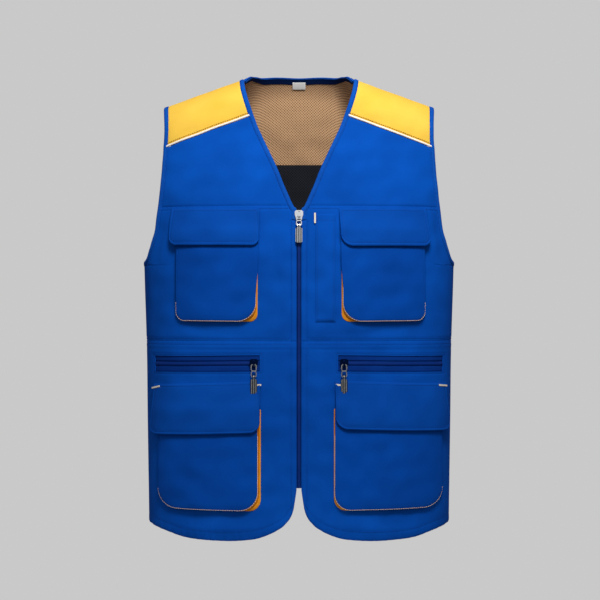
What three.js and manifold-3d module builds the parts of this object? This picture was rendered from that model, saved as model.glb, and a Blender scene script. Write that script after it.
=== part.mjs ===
// A sleeveless utility work vest in the shape that it has when it is worn, zipped shut.
// Millimetres, +Z up. The front faces -Y and the wearer's left is +X.
// The origin lies midway between the two shoulder neck points, which the wearer's shoulders carry.
import * as THREE from "three";
import { mergeVertices } from "three/addons/utils/BufferGeometryUtils.js";
import Module from "manifold-3d";

const wasm = await Module();
wasm.setup();

// Body sizes
const LENGTH = 672;
const CHEST_HALF_WIDTH = 231;
const FRONT_DEPTH = 109;
const BACK_DEPTH = 104;
const SQUARENESS = 2.6;
const SHOULDER_ROUND = 55;
const SHOULDER_DROP = 40;
const SHOULDER_HALF_WIDTH = 202;
const NECK_HALF_WIDTH = 82.5;
const NECK_BACK_RISE = 27;
const NAPE_POWER = 3;
const NAPE_HALF_WIDTH = 62;
const NECK_BACK_REACH = 51;
const V_DEPTH = 197;
const ARMHOLE_DEPTH = 230;
const BACK_HEM_RISE = 37;
const LINING_HEM = 18;
const FOLD_HEIGHT = 2;
const SHOULDER_BLEND = 10;

// Seams, as drops below the shoulder neck points
const CHEST_SEAM = 192;
const WAIST_SEAM = 386;
const BACK_YOKE_SEAM = 116;
const YOKE_FRONT_LENGTH = 96;

// Cloth, gaps and bindings
const CLOTH = 1.6;
const MESH_CLOTH = 1;
const GAP = 0.4;
const LAYER_GAP = 0.8;
const SEAM_GAP = 1;
const BINDING_WIDTH = 7.5;
const ARM_BINDING_WIDTH = 8;
const BINDING_PROUD = 0.6;
const BINDING_THICKNESS = 3;
const PIPING_WIDTH = 3;
const PIPING_PROUD = 1.2;

// Front zip
const ZIP_EDGE = 3.5;
const ZIP_LENGTH = 399;
const ZIP_TOP_INSET = 2;
const TAPE_WIDTH = 28;
const TAPE_THICKNESS = 1;
const COIL_WIDTH = 5.2;
const COIL_THICKNESS = 1.6;

// Sliders and pulls
const SLIDER_WIDTH = 12;
const SLIDER_HEIGHT = 12.5;
const SLIDER_PLATE = 2.2;
const SLIDER_LIFT = 1;
const SLIDER_NECK = 5.6;
const BAIL_WIDTH = 3;
const BAIL_WIRE = 1.4;
const BAIL_OPENING = 6;
const LINK_WIDTH = 9;
const LINK_BAR = 1.6;
const LINK_THICKNESS = 1.4;
const FRONT_LINK_LENGTH = 15.5;
const WAIST_LINK_SHARE = 0.0283;
const WAIST_LINK_LENGTH = WAIST_LINK_SHARE * LENGTH;
const SWING_ROOM = 1.25;
const TAB_WIDTH = 9.6;
const TAB_LENGTH = 25;
const TAB_THICKNESS = 1.8;
const TAB_EYE_WIDTH = 4;
const TAB_RIB = 0.5;

// Waist zip pockets
const WAIST_ZIP_DROP = 19;
const WAIST_ZIP_HEIGHT = 23;
const WAIST_ZIP_INNER = 56;
const WAIST_ZIP_OUTER = 211;
const WAIST_ZIP_OUTER_DROP = 3;
const WAIST_SLIDER = 8.5;
const TAPE_LAP = 3;

// Patch pockets
const POCKET_DEPTH = 9;
const POCKET_CORNER = 12;
const GUSSET_THICKNESS = 1.4;
const GUSSET_INSET = 1.7;
const PEN_POCKET_INNER = 23.4;
const PEN_POCKET_OUTER = 52.5;
const PEN_POCKET_TOP = 12;
const PEN_POCKET_HEIGHT = 154;

// Size label
const LABEL_WIDTH = 20;
const LABEL_HEIGHT = 12;
const LABEL_THICKNESS = 0.8;

// Sections of the worn vest. Down is a share of LENGTH, width of CHEST_HALF_WIDTH, front and back of the
// depths.
const SECTIONS = [
  { down: -0.08, width: 1, front: 0.7, back: 0.71 },
  { down: 0, width: 1, front: 0.715, back: 0.73 },
  { down: 0.09, width: 1, front: 0.735, back: 0.81 },
  { down: 0.18, width: 1, front: 0.845, back: 0.93 },
  { down: 0.283, width: 1, front: 0.93, back: 0.99 },
  { down: 0.4, width: 1, front: 0.99, back: 0.98 },
  { down: 0.6, width: 0.983, front: 0.973, back: 0.885 },
  { down: 0.75, width: 0.978, front: 0.966, back: 0.905 },
  { down: 1.03, width: 0.965, front: 1, back: 1 },
];

// Edge of the V neck. Down is a share of V_DEPTH, half of NECK_HALF_WIDTH.
const V_EDGE = [
  { down: 0.97, half: 0.1 },
  { down: 0.825, half: 0.255 },
  { down: 0.703, half: 0.371 },
  { down: 0.563, half: 0.526 },
  { down: 0.44, half: 0.664 },
  { down: 0.362, half: 0.745 },
  { down: 0.161, half: 0.91 },
  { down: 0.045, half: 0.975 },
];

// Back edge of the neck. Half is a share of NECK_HALF_WIDTH, reach of NECK_BACK_REACH.
const BACK_NECK_EDGE = [
  { half: 0.985, reach: 0.08 },
  { half: 0.9, reach: 0.28 },
  { half: 0.8, reach: 0.58 },
  { half: 0.6, reach: 0.86 },
  { half: 0, reach: 1 },
];

// Edge of the armhole. Down is a share of ARMHOLE_DEPTH below the shoulder tip, out of CHEST_HALF_WIDTH.
const ARMHOLE_EDGE = [
  { down: 0.985, out: 0.977 },
  { down: 0.925, out: 0.953 },
  { down: 0.865, out: 0.933 },
  { down: 0.8, out: 0.914 },
  { down: 0.678, out: 0.896 },
  { down: 0.55, out: 0.88 },
  { down: 0.42, out: 0.868 },
  { down: 0.295, out: 0.86 },
  { down: 0.165, out: 0.856 },
];

// Front hem. Out is a share of the half width there, down of LENGTH.
const HEM = [
  { out: 0.015, down: 0.891 },
  { out: 0.038, down: 0.937 },
  { out: 0.09, down: 0.964 },
  { out: 0.141, down: 0.9765 },
  { out: 0.192, down: 0.985 },
  { out: 0.243, down: 0.9915 },
  { out: 0.294, down: 0.9955 },
  { out: 0.4, down: 0.999 },
  { out: 0.5, down: 1 },
  { out: 0.66, down: 0.998 },
  { out: 0.76, down: 0.994 },
  { out: 0.85, down: 0.986 },
  { out: 0.98, down: 0.976 },
];

// Broad folds of the front. Out is a share of CHEST_HALF_WIDTH with its sign, down, long and wide of
// LENGTH, and high of FOLD_HEIGHT. Lean is in degrees from upright, and long and wide are half sizes.
const FOLDS = [
  { out: -0.7, down: 0.23, lean: 24, long: 0.0893, wide: 0.0357, high: 1.1 },
  { out: 0.72, down: 0.24, lean: -22, long: 0.0893, wide: 0.0357, high: 1 },
  { out: -0.5, down: 0.2, lean: 18, long: 0.1042, wide: 0.0387, high: -0.8 },
  { out: 0.5, down: 0.2, lean: -18, long: 0.1042, wide: 0.0387, high: -0.7 },
  { out: -0.13, down: 0.68, lean: 4, long: 0.1786, wide: 0.0268, high: 0.65 },
  { out: 0.14, down: 0.7, lean: -3, long: 0.1786, wide: 0.0268, high: 0.65 },
  { out: -0.55, down: 0.98, lean: 90, long: 0.1339, wide: 0.0238, high: 0.7 },
  { out: 0.55, down: 0.98, lean: 90, long: 0.1339, wide: 0.0238, high: 0.7 },
];

// Patch pockets with flaps, one row each. Side is the wearer's right (-1) or left (1). Inner, outer,
// flapInner and flapOuter are distances from the front centre line, as shares of CHEST_HALF_WIDTH. Drop and
// the heights are measured down from the seam above, tilt is how much lower the outer side lies, and
// footRise how much of that is taken back at the foot, as shares of LENGTH. Flare, the corners and the
// insets, which keep the face back from the gusset's foot, are shares of POCKET_CORNER. FootCorner is the
// gusset's inner corner.
const POCKET_ROWS = [
  {
    name: "chest", side: -1, seam: CHEST_SEAM, drop: 0.006, flapHeight: 0.0804,
    height: 0.2411, mouth: 0.0506, tilt: -0.0015, footRise: 0, inner: 0.2554, outer: 0.7641,
    flapInner: 0.2424, flapOuter: 0.7965, flare: 0, flapCorner: 0.9167,
    flapOuterCorner: 0.9167, footCorner: 1, corner: 1, innerInset: 0.2083,
    innerCorner: 2.25, outerInset: 0.1,
  },
  {
    name: "chest", side: 1, seam: CHEST_SEAM, drop: 0.006, flapHeight: 0.0818,
    height: 0.2411, mouth: 0.0506, tilt: -0.0015, footRise: 0, inner: 0.2641, outer: 0.7835,
    flapInner: 0.2468, flapOuter: 0.7944, flare: 0.25, flapCorner: 1.4167,
    flapOuterCorner: 0.9167, footCorner: 1, corner: 1, innerInset: 0.1667,
    innerCorner: 2.25, outerInset: 0.1,
  },
  {
    name: "lower", side: -1, seam: WAIST_SEAM, drop: 0.0848, flapHeight: 0.1094,
    height: 0.2761, mouth: 0.0604, tilt: 0.0089, footRise: 0.0104, inner: 0.2359, outer: 0.8766,
    flapInner: 0.2381, flapOuter: 0.9156, flare: 0, flapCorner: 1.25,
    flapOuterCorner: 0.8333, footCorner: 1.4167, corner: 2.3333, innerInset: 0.5417,
    innerCorner: 2, outerInset: 0.1,
  },
  {
    name: "lower", side: 1, seam: WAIST_SEAM, drop: 0.0833, flapHeight: 0.1027,
    height: 0.2761, mouth: 0.0604, tilt: 0.0089, footRise: 0.0104, inner: 0.2165, outer: 0.8939,
    flapInner: 0.2229, flapOuter: 0.9286, flare: 0, flapCorner: 1.5,
    flapOuterCorner: 0.8333, footCorner: 1.4167, corner: 2.3333, innerInset: 0.1333,
    innerCorner: 1.6667, outerInset: 0.1,
  },
];
const POCKETS = POCKET_ROWS.map((row) => {
  const wide = (share) => share * CHEST_HALF_WIDTH;
  const long = (share) => share * LENGTH;
  const corner = (share) => share * POCKET_CORNER;
  return {
    name: row.name, side: row.side, seam: row.seam,
    drop: long(row.drop), flapHeight: long(row.flapHeight), height: long(row.height), mouth: long(row.mouth),
    tilt: long(row.tilt), footRise: long(row.footRise), footCorner: corner(row.footCorner),
    inner: wide(row.inner), outer: wide(row.outer),
    flapInner: wide(row.flapInner), flapOuter: wide(row.flapOuter), flare: corner(row.flare),
    flapCorner: corner(row.flapCorner), flapOuterCorner: corner(row.flapOuterCorner),
    corner: corner(row.corner), innerInset: corner(row.innerInset), innerCorner: corner(row.innerCorner),
    outerInset: corner(row.outerInset),
  };
});

// How far a filled pocket stands out, across its width and down from the flap's seam, as shares of
// POCKET_DEPTH.
const BULGE_ACROSS = [
  { share: -0.12, high: 0.72 },
  { share: 0, high: 0.82 },
  { share: 0.2, high: 0.97 },
  { share: 0.5, high: 1 },
  { share: 0.78, high: 0.9 },
  { share: 1, high: 0.62 },
  { share: 1.1, high: 0.3 },
];
const BULGE_DOWN = [
  { share: 0, high: 0 },
  { share: 0.12, high: 0.02 },
  { share: 0.165, high: 0.4 },
  { share: 0.21, high: 0.85 },
  { share: 0.3, high: 1 },
  { share: 0.8, high: 1 },
  { share: 1, high: 0.84 },
  { share: 1.05, high: 0.8 },
];

const material = (color, roughness = 0.85, metalness = 0) =>
  new THREE.MeshStandardMaterial({ color, roughness, metalness });
const MATERIALS = {
  blue: material(0x0b54b4),
  blueShade: material(0x063f96),
  yellow: material(0xf8cc55),
  piping: material(0xfff3e6, 0.7),
  orange: material(0xf2a52c),
  binding: material(0x0a3f9a),
  peachMesh: material(0xdba67c, 0.9),
  blackMesh: material(0x1b1c22, 0.9),
  tape: material(0x0a2f74, 0.8),
  coil: material(0x123a80, 0.5),
  metal: material(0xd6d8dc, 0.25, 1),
  label: material(0xf4f4f2, 0.8),
};

const vest = new THREE.Group();

function add(name, paint, geometry, holder = vest) {
  const mesh = new THREE.Mesh(geometry, MATERIALS[paint]);
  mesh.name = name;
  holder.add(mesh);
  return mesh;
}

const sideName = (side) => (side < 0 ? "right" : "left");
const lerp = THREE.MathUtils.lerp;
const clamp = THREE.MathUtils.clamp;
const toRadians = THREE.MathUtils.degToRad;
const toDegrees = THREE.MathUtils.radToDeg;
const steps = (count) => Array.from({ length: count + 1 }, (_, i) => i / count);

// Cubic curve through the rows of a table, from its column key to its column value.
function through(rows, key, value) {
  const xs = rows.map((row) => row[key]);
  const ys = rows.map((row) => row[value]);
  const last = xs.length - 1;
  const slopes = xs.map((_, i) => {
    const before = Math.max(i - 1, 0);
    const after = Math.min(i + 1, last);
    return (ys[after] - ys[before]) / (xs[after] - xs[before]);
  });
  return (x) => {
    const at = clamp(x, xs[0], xs[last]);
    let i = 0;
    while (i < last - 1 && at > xs[i + 1]) i += 1;
    const run = xs[i + 1] - xs[i];
    const t = (at - xs[i]) / run;
    const bend = (ys[i] * (1 + 2 * t) + slopes[i] * run * t) * (1 - t) ** 2;
    return bend + (ys[i + 1] * (3 - 2 * t) - slopes[i + 1] * run * (1 - t)) * t ** 2;
  };
}

// The skin: the outer face of the body cloth
const widthShare = through(SECTIONS, "down", "width");
const frontShare = through(SECTIONS, "down", "front");
const backShare = through(SECTIONS, "down", "back");
const halfWidth = (z) => CHEST_HALF_WIDTH * widthShare(-z / LENGTH);

// Height of the shoulder line over the share of the half width. It is level behind the neck, then slopes
// through zero at the binding's outer edge, and the back's line rises towards the nape.
function shoulderLine(across, front) {
  const out = Math.abs(across) * CHEST_HALF_WIDTH;
  const start = NECK_HALF_WIDTH + BINDING_WIDTH;
  const past = out - NAPE_HALF_WIDTH;
  const blended = (past + SHOULDER_BLEND) ** 2 / (4 * SHOULDER_BLEND);
  const run = past < -SHOULDER_BLEND ? 0 : past > SHOULDER_BLEND ? past : blended;
  const slope = (SHOULDER_DROP * (start - NAPE_HALF_WIDTH - run)) / (SHOULDER_HALF_WIDTH - start);
  const nape = front ? 0 : NECK_BACK_RISE * Math.max(0, 1 - (out / NECK_HALF_WIDTH) ** NAPE_POWER);
  return slope + nape;
}

function foldHeight(x, z) {
  let height = 0;
  for (const fold of FOLDS) {
    const lean = toRadians(fold.lean);
    const dx = x - fold.out * CHEST_HALF_WIDTH;
    const dz = z + fold.down * LENGTH;
    const along = dx * Math.sin(lean) + dz * Math.cos(lean);
    const aside = dx * Math.cos(lean) - dz * Math.sin(lean);
    const fade = (along / (fold.long * LENGTH)) ** 2 + (aside / (fold.wide * LENGTH)) ** 2;
    height += FOLD_HEIGHT * fold.high * Math.exp(-fade);
  }
  return height;
}

// Point of the skin. Angle is in degrees round the body from the front centre towards +X, and drop is the
// distance along the cloth from the shoulder line. A drop below zero runs over the shoulder onto the other
// side.
function skin(angle, drop) {
  const turn = toRadians(angle);
  const front = Math.cos(turn) >= 0 === drop >= 0;
  const far = Math.abs(drop);
  const across = Math.sin(turn);
  const arc = Math.min(far / SHOULDER_ROUND, Math.PI / 2);
  const straight = Math.max(0, far - (SHOULDER_ROUND * Math.PI) / 2);
  const z = shoulderLine(across, front) - SHOULDER_ROUND * (1 - Math.cos(arc)) - straight;
  const x = halfWidth(z) * across;
  const share = front ? FRONT_DEPTH * frontShare(-z / LENGTH) : BACK_DEPTH * backShare(-z / LENGTH);
  const curve = Math.max(0, 1 - Math.abs(across) ** SQUARENESS) ** (1 / SQUARENESS);
  const depth = (share + (front ? foldHeight(x, z) : 0)) * curve * Math.sin(arc);
  return new THREE.Vector3(x, front ? -depth : depth, z);
}

function skinTangents(angle, drop) {
  const turn = 0.4;
  const run = 0.4;
  const round = skin(angle + turn, drop).sub(skin(angle - turn, drop)).divideScalar(2 * turn);
  const down = skin(angle, drop + run).sub(skin(angle, drop - run)).divideScalar(2 * run);
  return { round, down };
}

function skinNormal(angle, drop) {
  const { round, down } = skinTangents(angle, drop);
  return down.cross(round).normalize();
}

const onSkin = (place, height) =>
  skin(place.angle, place.drop).addScaledVector(skinNormal(place.angle, place.drop), height);

// Drop that reaches the height z at an angle, on the front or on the back.
function dropTo(angle, z) {
  const turn = toRadians(angle);
  const below = shoulderLine(Math.sin(turn), Math.cos(turn) >= 0) - z;
  if (below >= SHOULDER_ROUND) return (SHOULDER_ROUND * Math.PI) / 2 + below - SHOULDER_ROUND;
  return SHOULDER_ROUND * Math.acos(1 - Math.max(0, below) / SHOULDER_ROUND);
}

// Place on the front that shows at x and z from straight ahead.
function frontPlace(x, z) {
  const angle = toDegrees(Math.asin(clamp(x / halfWidth(z), -0.99999, 0.99999)));
  return { angle, drop: dropTo(angle, z) };
}

const placeAt = (angle, z) => ({ angle, drop: dropTo(angle, z) });

// A curve on the skin, through places that are joined smoothly and read by the share of its length. It can
// stop at the share until of its places.
class SkinCurve {
  constructor(places, until = 1) {
    const rows = places.map((place, i) => ({ at: i / (places.length - 1), ...place }));
    const angle = through(rows, "at", "angle");
    const drop = through(rows, "at", "drop");
    this.rows = steps(CURVE_STEPS).map((t) => ({ angle: angle(t * until), drop: drop(t * until) }));
    this.measure();
  }

  measure() {
    const points = this.rows.map((row) => skin(row.angle, row.drop));
    let far = 0;
    this.marks = points.map((point, i) => (far += i ? point.distanceTo(points[i - 1]) : 0));
    this.length = far;
  }

  // Row number, with a fraction, at a share of the length.
  rowAt(share) {
    const far = clamp(share, 0, 1) * this.length;
    let i = 0;
    while (i < this.marks.length - 2 && far > this.marks[i + 1]) i += 1;
    return i + (far - this.marks[i]) / (this.marks[i + 1] - this.marks[i]);
  }

  read(row) {
    const i = Math.min(Math.floor(row), this.rows.length - 2);
    const a = this.rows[i];
    const b = this.rows[i + 1];
    return { angle: lerp(a.angle, b.angle, row - i), drop: lerp(a.drop, b.drop, row - i) };
  }

  // Row between from and to at which test turns from negative to positive.
  rowWhere(test, from = 0, to = this.rows.length - 1) {
    let low = from;
    let high = to;
    for (let i = 0; i < 40; i += 1) {
      const middle = (low + high) / 2;
      if (test(this.read(middle)) < 0) low = middle;
      else high = middle;
    }
    return (low + high) / 2;
  }

  // The same rows moved sideways over the skin, to the left of the curve's direction as seen from outside.
  aside(distance) {
    const moved = this.rows.map((row, i) => {
      const a = this.rows[Math.max(i - 1, 0)];
      const b = this.rows[Math.min(i + 1, this.rows.length - 1)];
      const { round, down } = skinTangents(row.angle, row.drop);
      const along = round.clone().multiplyScalar(b.angle - a.angle);
      along.addScaledVector(down, b.drop - a.drop).normalize();
      const away = skinNormal(row.angle, row.drop).cross(along).multiplyScalar(distance);
      const rr = round.dot(round);
      const rd = round.dot(down);
      const dd = down.dot(down);
      const ar = away.dot(round);
      const ad = away.dot(down);
      const scale = rr * dd - rd * rd;
      return {
        angle: row.angle + (ar * dd - ad * rd) / scale,
        drop: row.drop + (ad * rr - ar * rd) / scale,
      };
    });
    const curve = Object.create(SkinCurve.prototype);
    curve.rows = moved;
    curve.measure();
    return curve;
  }
}

// Geometry from an outer and an inner grid of points, closed by rims along every edge of the kept cells.
function shell(outer, inner, keep = () => true) {
  const columns = outer.length;
  const rows = outer[0].length;
  const positions = [];
  for (const grid of [outer, inner]) {
    for (const column of grid) {
      for (const point of column) positions.push(point.x, point.y, point.z);
    }
  }
  const top = (i, j) => i * rows + j;
  const under = (i, j) => columns * rows + top(i, j);
  const kept = (i, j) => i >= 0 && j >= 0 && i < columns - 1 && j < rows - 1 && keep(i, j);
  const index = [];
  const rim = (ai, aj, bi, bj) => {
    index.push(top(bi, bj), top(ai, aj), under(ai, aj), top(bi, bj), under(ai, aj), under(bi, bj));
  };
  for (let i = 0; i < columns - 1; i += 1) {
    for (let j = 0; j < rows - 1; j += 1) {
      if (!kept(i, j)) continue;
      index.push(top(i, j), top(i, j + 1), top(i + 1, j), top(i + 1, j), top(i, j + 1), top(i + 1, j + 1));
      index.push(under(i, j), under(i + 1, j), under(i, j + 1));
      index.push(under(i + 1, j), under(i + 1, j + 1), under(i, j + 1));
      if (!kept(i - 1, j)) rim(i, j, i, j + 1);
      if (!kept(i, j + 1)) rim(i, j + 1, i + 1, j + 1);
      if (!kept(i + 1, j)) rim(i + 1, j + 1, i + 1, j);
      if (!kept(i, j - 1)) rim(i + 1, j, i, j);
    }
  }
  return facingOut(positions, index);
}

// A closed geometry whose faces point out, whichever way its triangles were listed.
function facingOut(positions, index) {
  const point = (k) => new THREE.Vector3().fromArray(positions, 3 * k);
  let volume = 0;
  for (let k = 0; k < index.length; k += 3) {
    volume += point(index[k]).dot(point(index[k + 1]).cross(point(index[k + 2])));
  }
  const geometry = new THREE.BufferGeometry();
  geometry.setAttribute("position", new THREE.Float32BufferAttribute(positions, 3));
  geometry.setIndex(volume > 0 ? index : index.slice().reverse());
  return geometry;
}

// Cloth over a grid of places. place(i, j) gives angle and drop; outer and inner are heights over the skin,
// as numbers or as functions of the place.
function cloth(columns, rows, place, outer, inner, keep) {
  const height = (value, at) => (typeof value === "function" ? value(at) : value);
  const grid = (value) =>
    Array.from({ length: columns + 1 }, (_, i) =>
      Array.from({ length: rows + 1 }, (_, j) => {
        const at = place(i, j);
        return onSkin(at, height(value, at));
      }),
    );
  return shell(grid(outer), grid(inner), keep);
}

// Edges of the neck and of the armholes on the wearer's left, mirrored for the right by the sign of the
// angle
const CURVE_STEPS = 240;
const SIDE_SEAM = 89.975;
const placketEnd = -V_DEPTH - 2 * BINDING_WIDTH;
const placket = ZIP_EDGE + BINDING_WIDTH;
const underarm = -SHOULDER_DROP - ARMHOLE_DEPTH;

function makeNeckCurve() {
  const front = V_EDGE.map((row) => frontPlace(row.half * NECK_HALF_WIDTH, -row.down * V_DEPTH));
  const angleOf = (half) => toDegrees(Math.asin((half * NECK_HALF_WIDTH) / CHEST_HALF_WIDTH));
  const back = BACK_NECK_EDGE.map((row) => ({ angle: angleOf(row.half), drop: -row.reach * NECK_BACK_REACH }));
  const nape = back.length - 1;
  const past = { angle: -back[nape - 1].angle, drop: back[nape - 1].drop };
  const neckPoint = { angle: angleOf(1), drop: 0 };
  const zipTop = [frontPlace(ZIP_EDGE, placketEnd), frontPlace(ZIP_EDGE, -V_DEPTH + GAP)];
  const places = [...zipTop, ...front, neckPoint, ...back, past];
  return new SkinCurve(places, (places.length - 2) / (places.length - 1));
}

function makeArmCurve() {
  const front = ARMHOLE_EDGE.map((row) =>
    frontPlace(row.out * CHEST_HALF_WIDTH, -SHOULDER_DROP - row.down * ARMHOLE_DEPTH),
  );
  const tip = { angle: toDegrees(Math.asin(SHOULDER_HALF_WIDTH / CHEST_HALF_WIDTH)), drop: 0 };
  const back = front.map((place) => ({ angle: place.angle, drop: -place.drop })).reverse();
  const bottom = placeAt(SIDE_SEAM, underarm);
  return new SkinCurve([bottom, ...front, tip, ...back, { angle: bottom.angle, drop: -bottom.drop }]);
}

const neckEdge = makeNeckCurve();
const neckSeam = neckEdge.aside(-BINDING_WIDTH - SEAM_GAP);
const armEdge = makeArmCurve();
const armSeam = armEdge.aside(ARM_BINDING_WIDTH + SEAM_GAP);
const armTipRow = armSeam.rowWhere((place) => -place.drop);
const neckPointRow = neckSeam.rowWhere((place) => -place.drop);

// A piece of front cloth between two edges, from the drop top(angle) to the drop bottom(angle).
function level(place, top, bottom) {
  return (place.drop - top(place.angle)) / (bottom(place.angle) - top(place.angle));
}

// Angle of the neck's or the armhole's seam at a share r of the way from top to bottom.
function neckAngle(top, bottom, r) {
  return neckSeam.read(neckSeam.rowWhere((place) => r - level(place, top, bottom), 0, neckPointRow)).angle;
}

function armAngle(top, bottom, r) {
  const start = level(armSeam.rows[0], top, bottom);
  if (r >= start) return SIDE_SEAM;
  return armSeam.read(armSeam.rowWhere((place) => r - level(place, top, bottom), 0, armTipRow)).angle;
}

const lineAt = (z) => (angle) => dropTo(angle, z);
const across = (side, place) => ({ angle: side * place.angle, drop: place.drop });

// Shares across a piece, closer together where the body turns round to its side.
const ACROSS_CHEST = [0, 0.2, 0.4, 0.58, 0.74, 0.88, 1];

// Rows beside the armhole, as shares of the way down to its lowest point, closer together at the underarm's
// curve.
const ARM_ROWS = [0.2, 0.4, 0.56, 0.69, 0.79, 0.87, 0.93, 0.97, 0.99, 1];

function betweenSeams(top, bottom, shares, rows) {
  return (i, j) => {
    const angle = lerp(neckAngle(top, bottom, rows[j]), armAngle(top, bottom, rows[j]), shares[i]);
    return { angle, drop: lerp(top(angle), bottom(angle), rows[j]) };
  };
}

function frontBand(side, name, paint, top, bottom, shares, rows, outer, inner) {
  const place = betweenSeams(top, bottom, shares, rows);
  const columns = shares.length - 1;
  const geometry = cloth(columns, rows.length - 1, (i, j) => across(side, place(i, j)), outer, inner);
  add(`${name}_${sideName(side)}`, paint, geometry);
}

function makeShoulder(side) {
  const seam = YOKE_FRONT_LENGTH;
  const piping = seam + PIPING_WIDTH;
  const chest = ACROSS_CHEST;
  frontBand(side, "shoulder_yoke", "yellow", () => GAP / 2, () => seam - GAP, chest, steps(7), 0, -CLOTH);
  frontBand(side, "yoke_piping", "piping", () => seam, () => piping, chest, steps(1), PIPING_PROUD, -CLOTH);
  const chestRows = [0, 0.25, 0.5, 0.75, 1];
  const chestEnd = lineAt(-CHEST_SEAM + GAP / 2);
  frontBand(side, "front_chest_panel", "blue", () => piping + GAP, chestEnd, chest, chestRows, 0, -CLOTH);
}

// Middle panel, between the chest seam and the waist seam. Its upper inner corner is cut out for the neck
// binding.
function makeMiddlePanel(side) {
  const top = lineAt(-CHEST_SEAM - GAP / 2);
  const bottom = lineAt(-WAIST_SEAM + GAP / 2);
  const span = WAIST_SEAM - CHEST_SEAM;
  const notch = (-placketEnd + GAP - CHEST_SEAM) / span;
  const armEnd = level(armSeam.rows[0], top, bottom);
  const rows = [0, notch, ...ARM_ROWS.slice(1).map((r) => r * armEnd), 0.62, 0.8, 1];
  const shares = [0, 0.12, 0.28, 0.43, 0.57, 0.7, 0.82, 0.92, 1];
  const place = (i, j) => {
    const r = rows[j];
    const angleOfZip = frontPlace(ZIP_EDGE, -CHEST_SEAM - r * span).angle;
    const angleOfPlacket = frontPlace(placket + GAP, -CHEST_SEAM - r * span).angle;
    const inner = r < notch ? neckAngle(top, bottom, r) : angleOfPlacket;
    const angle = i === 0 ? angleOfZip : lerp(inner, armAngle(top, bottom, r), shares[i - 1]);
    return { angle: side * angle, drop: lerp(top(angle), bottom(angle), r) };
  };
  const keep = (i, j) => i > 0 || j > 0;
  const geometry = cloth(shares.length, rows.length - 1, place, 0, -CLOTH, keep);
  add(`front_middle_panel_${sideName(side)}`, "blue", geometry);
}

// Lower panel, from the waist seam to the hem, with a slot for the waist zip
const hemDrop = through(HEM, "out", "down");
const zipSlotTop = (x) => -WAIST_SEAM - WAIST_ZIP_DROP - WAIST_ZIP_OUTER_DROP * (x / WAIST_ZIP_OUTER);
// Columns of the lower panel, as shares of the way from the zip to the slot, along the slot and out to the
// side.
const BEFORE_SLOT = [0, 0.095, 0.314, 0.543, 0.771];
const ALONG_SLOT = [0, 0.206, 0.413, 0.594, 0.748, 0.884, 1];
const BEYOND_SLOT = 0.5;
const LOWER_COLUMNS = [
  ...BEFORE_SLOT.map((share) => lerp(ZIP_EDGE, WAIST_ZIP_INNER, share)),
  ...ALONG_SLOT.map((share) => lerp(WAIST_ZIP_INNER, WAIST_ZIP_OUTER, share)),
  lerp(WAIST_ZIP_OUTER, CHEST_HALF_WIDTH, BEYOND_SLOT),
];
const slotColumns = [BEFORE_SLOT.length, BEFORE_SLOT.length + ALONG_SLOT.length - 1];

function makeLowerPanel(side) {
  const below = steps(5).slice(1);
  const place = (i, j) => {
    const x = LOWER_COLUMNS[i] ?? CHEST_HALF_WIDTH;
    const slot = zipSlotTop(Math.min(x, WAIST_ZIP_OUTER));
    const slotEnd = slot - WAIST_ZIP_HEIGHT;
    const angle = i < LOWER_COLUMNS.length ? frontPlace(x, slot).angle : SIDE_SEAM;
    const hem = -LENGTH * hemDrop(Math.sin(toRadians(angle)));
    const z = [-WAIST_SEAM - GAP / 2, slot, slotEnd][j] ?? lerp(slotEnd, hem, below[j - 3]);
    return across(side, placeAt(angle, z));
  };
  const keep = (i, j) => j !== 1 || i < slotColumns[0] || i >= slotColumns[1];
  const geometry = cloth(LOWER_COLUMNS.length, 2 + below.length, place, 0, -CLOTH, keep);
  add(`front_lower_panel_${sideName(side)}`, "blue", geometry);
}

// Back, from armhole to armhole. Places on the back are written as front angles with drops below zero.
const onBack = (angle, drop) => ({ angle, drop: -drop });
const backLine = (z) => (angle) => dropTo(180 - angle, z);
const NECK_COLUMNS = [0, 0.15, 0.38, 0.62, 0.78, 0.88, 0.94, 0.975, 1.035];
const SHOULDER_COLUMNS = [0.25, 0.5, 0.77];

function makeBackYoke() {
  const bottom = backLine(-BACK_YOKE_SEAM + GAP / 2);
  const shoulder = () => GAP / 2;
  const neckAngleOut = neckSeam.read(neckPointRow).angle;
  const neckDrop = (angle) => {
    if (angle >= neckAngleOut) return GAP / 2;
    const row = neckSeam.rowWhere((place) => angle - place.angle, neckPointRow, CURVE_STEPS);
    return Math.max(GAP / 2, -neckSeam.read(row).drop);
  };
  const rows = [0, 0.14, 0.28, 0.42, 0.56, 0.7, 0.85, 1];
  const armAngleOut = armSeam.read(armTipRow).angle;
  const inner = NECK_COLUMNS.map((share) => share * neckAngleOut);
  const columnAngles = [...inner, ...SHOULDER_COLUMNS.map((share) => lerp(neckAngleOut, armAngleOut, share))];
  const halfCount = columnAngles.length;
  const place = (i, j) => {
    const sign = Math.sign(i - halfCount);
    const k = Math.abs(i - halfCount);
    const edge = armAngle(shoulder, bottom, rows[j]);
    const angle = k === halfCount ? edge : columnAngles[k];
    return onBack(sign * angle, lerp(neckDrop(angle), bottom(angle), rows[j]));
  };
  const columns = 2 * halfCount;
  add("back_yoke", "yellow", cloth(columns, rows.length - 1, place, 0, -CLOTH));
  const lining = [-CLOTH - GAP, -CLOTH - GAP - MESH_CLOTH];
  add("back_lining_upper", "peachMesh", cloth(columns, rows.length - 1, place, ...lining));
}

const underarmSeam = underarm - ARM_BINDING_WIDTH - SEAM_GAP;
const ACROSS_BACK = [0, 0.24, 0.44, 0.6, 0.73, 0.85, 0.94, 1];
const BELOW_ARM = [0.05, 0.34, 0.67, 1];
const LINING_ROWS = [0.4, 0.69, 0.87, 0.97, 0.99, 1];
const backHem = (angle) =>
  -LENGTH * hemDrop(1) + BACK_HEM_RISE * Math.cos(toRadians(angle)) ** 2;

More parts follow.
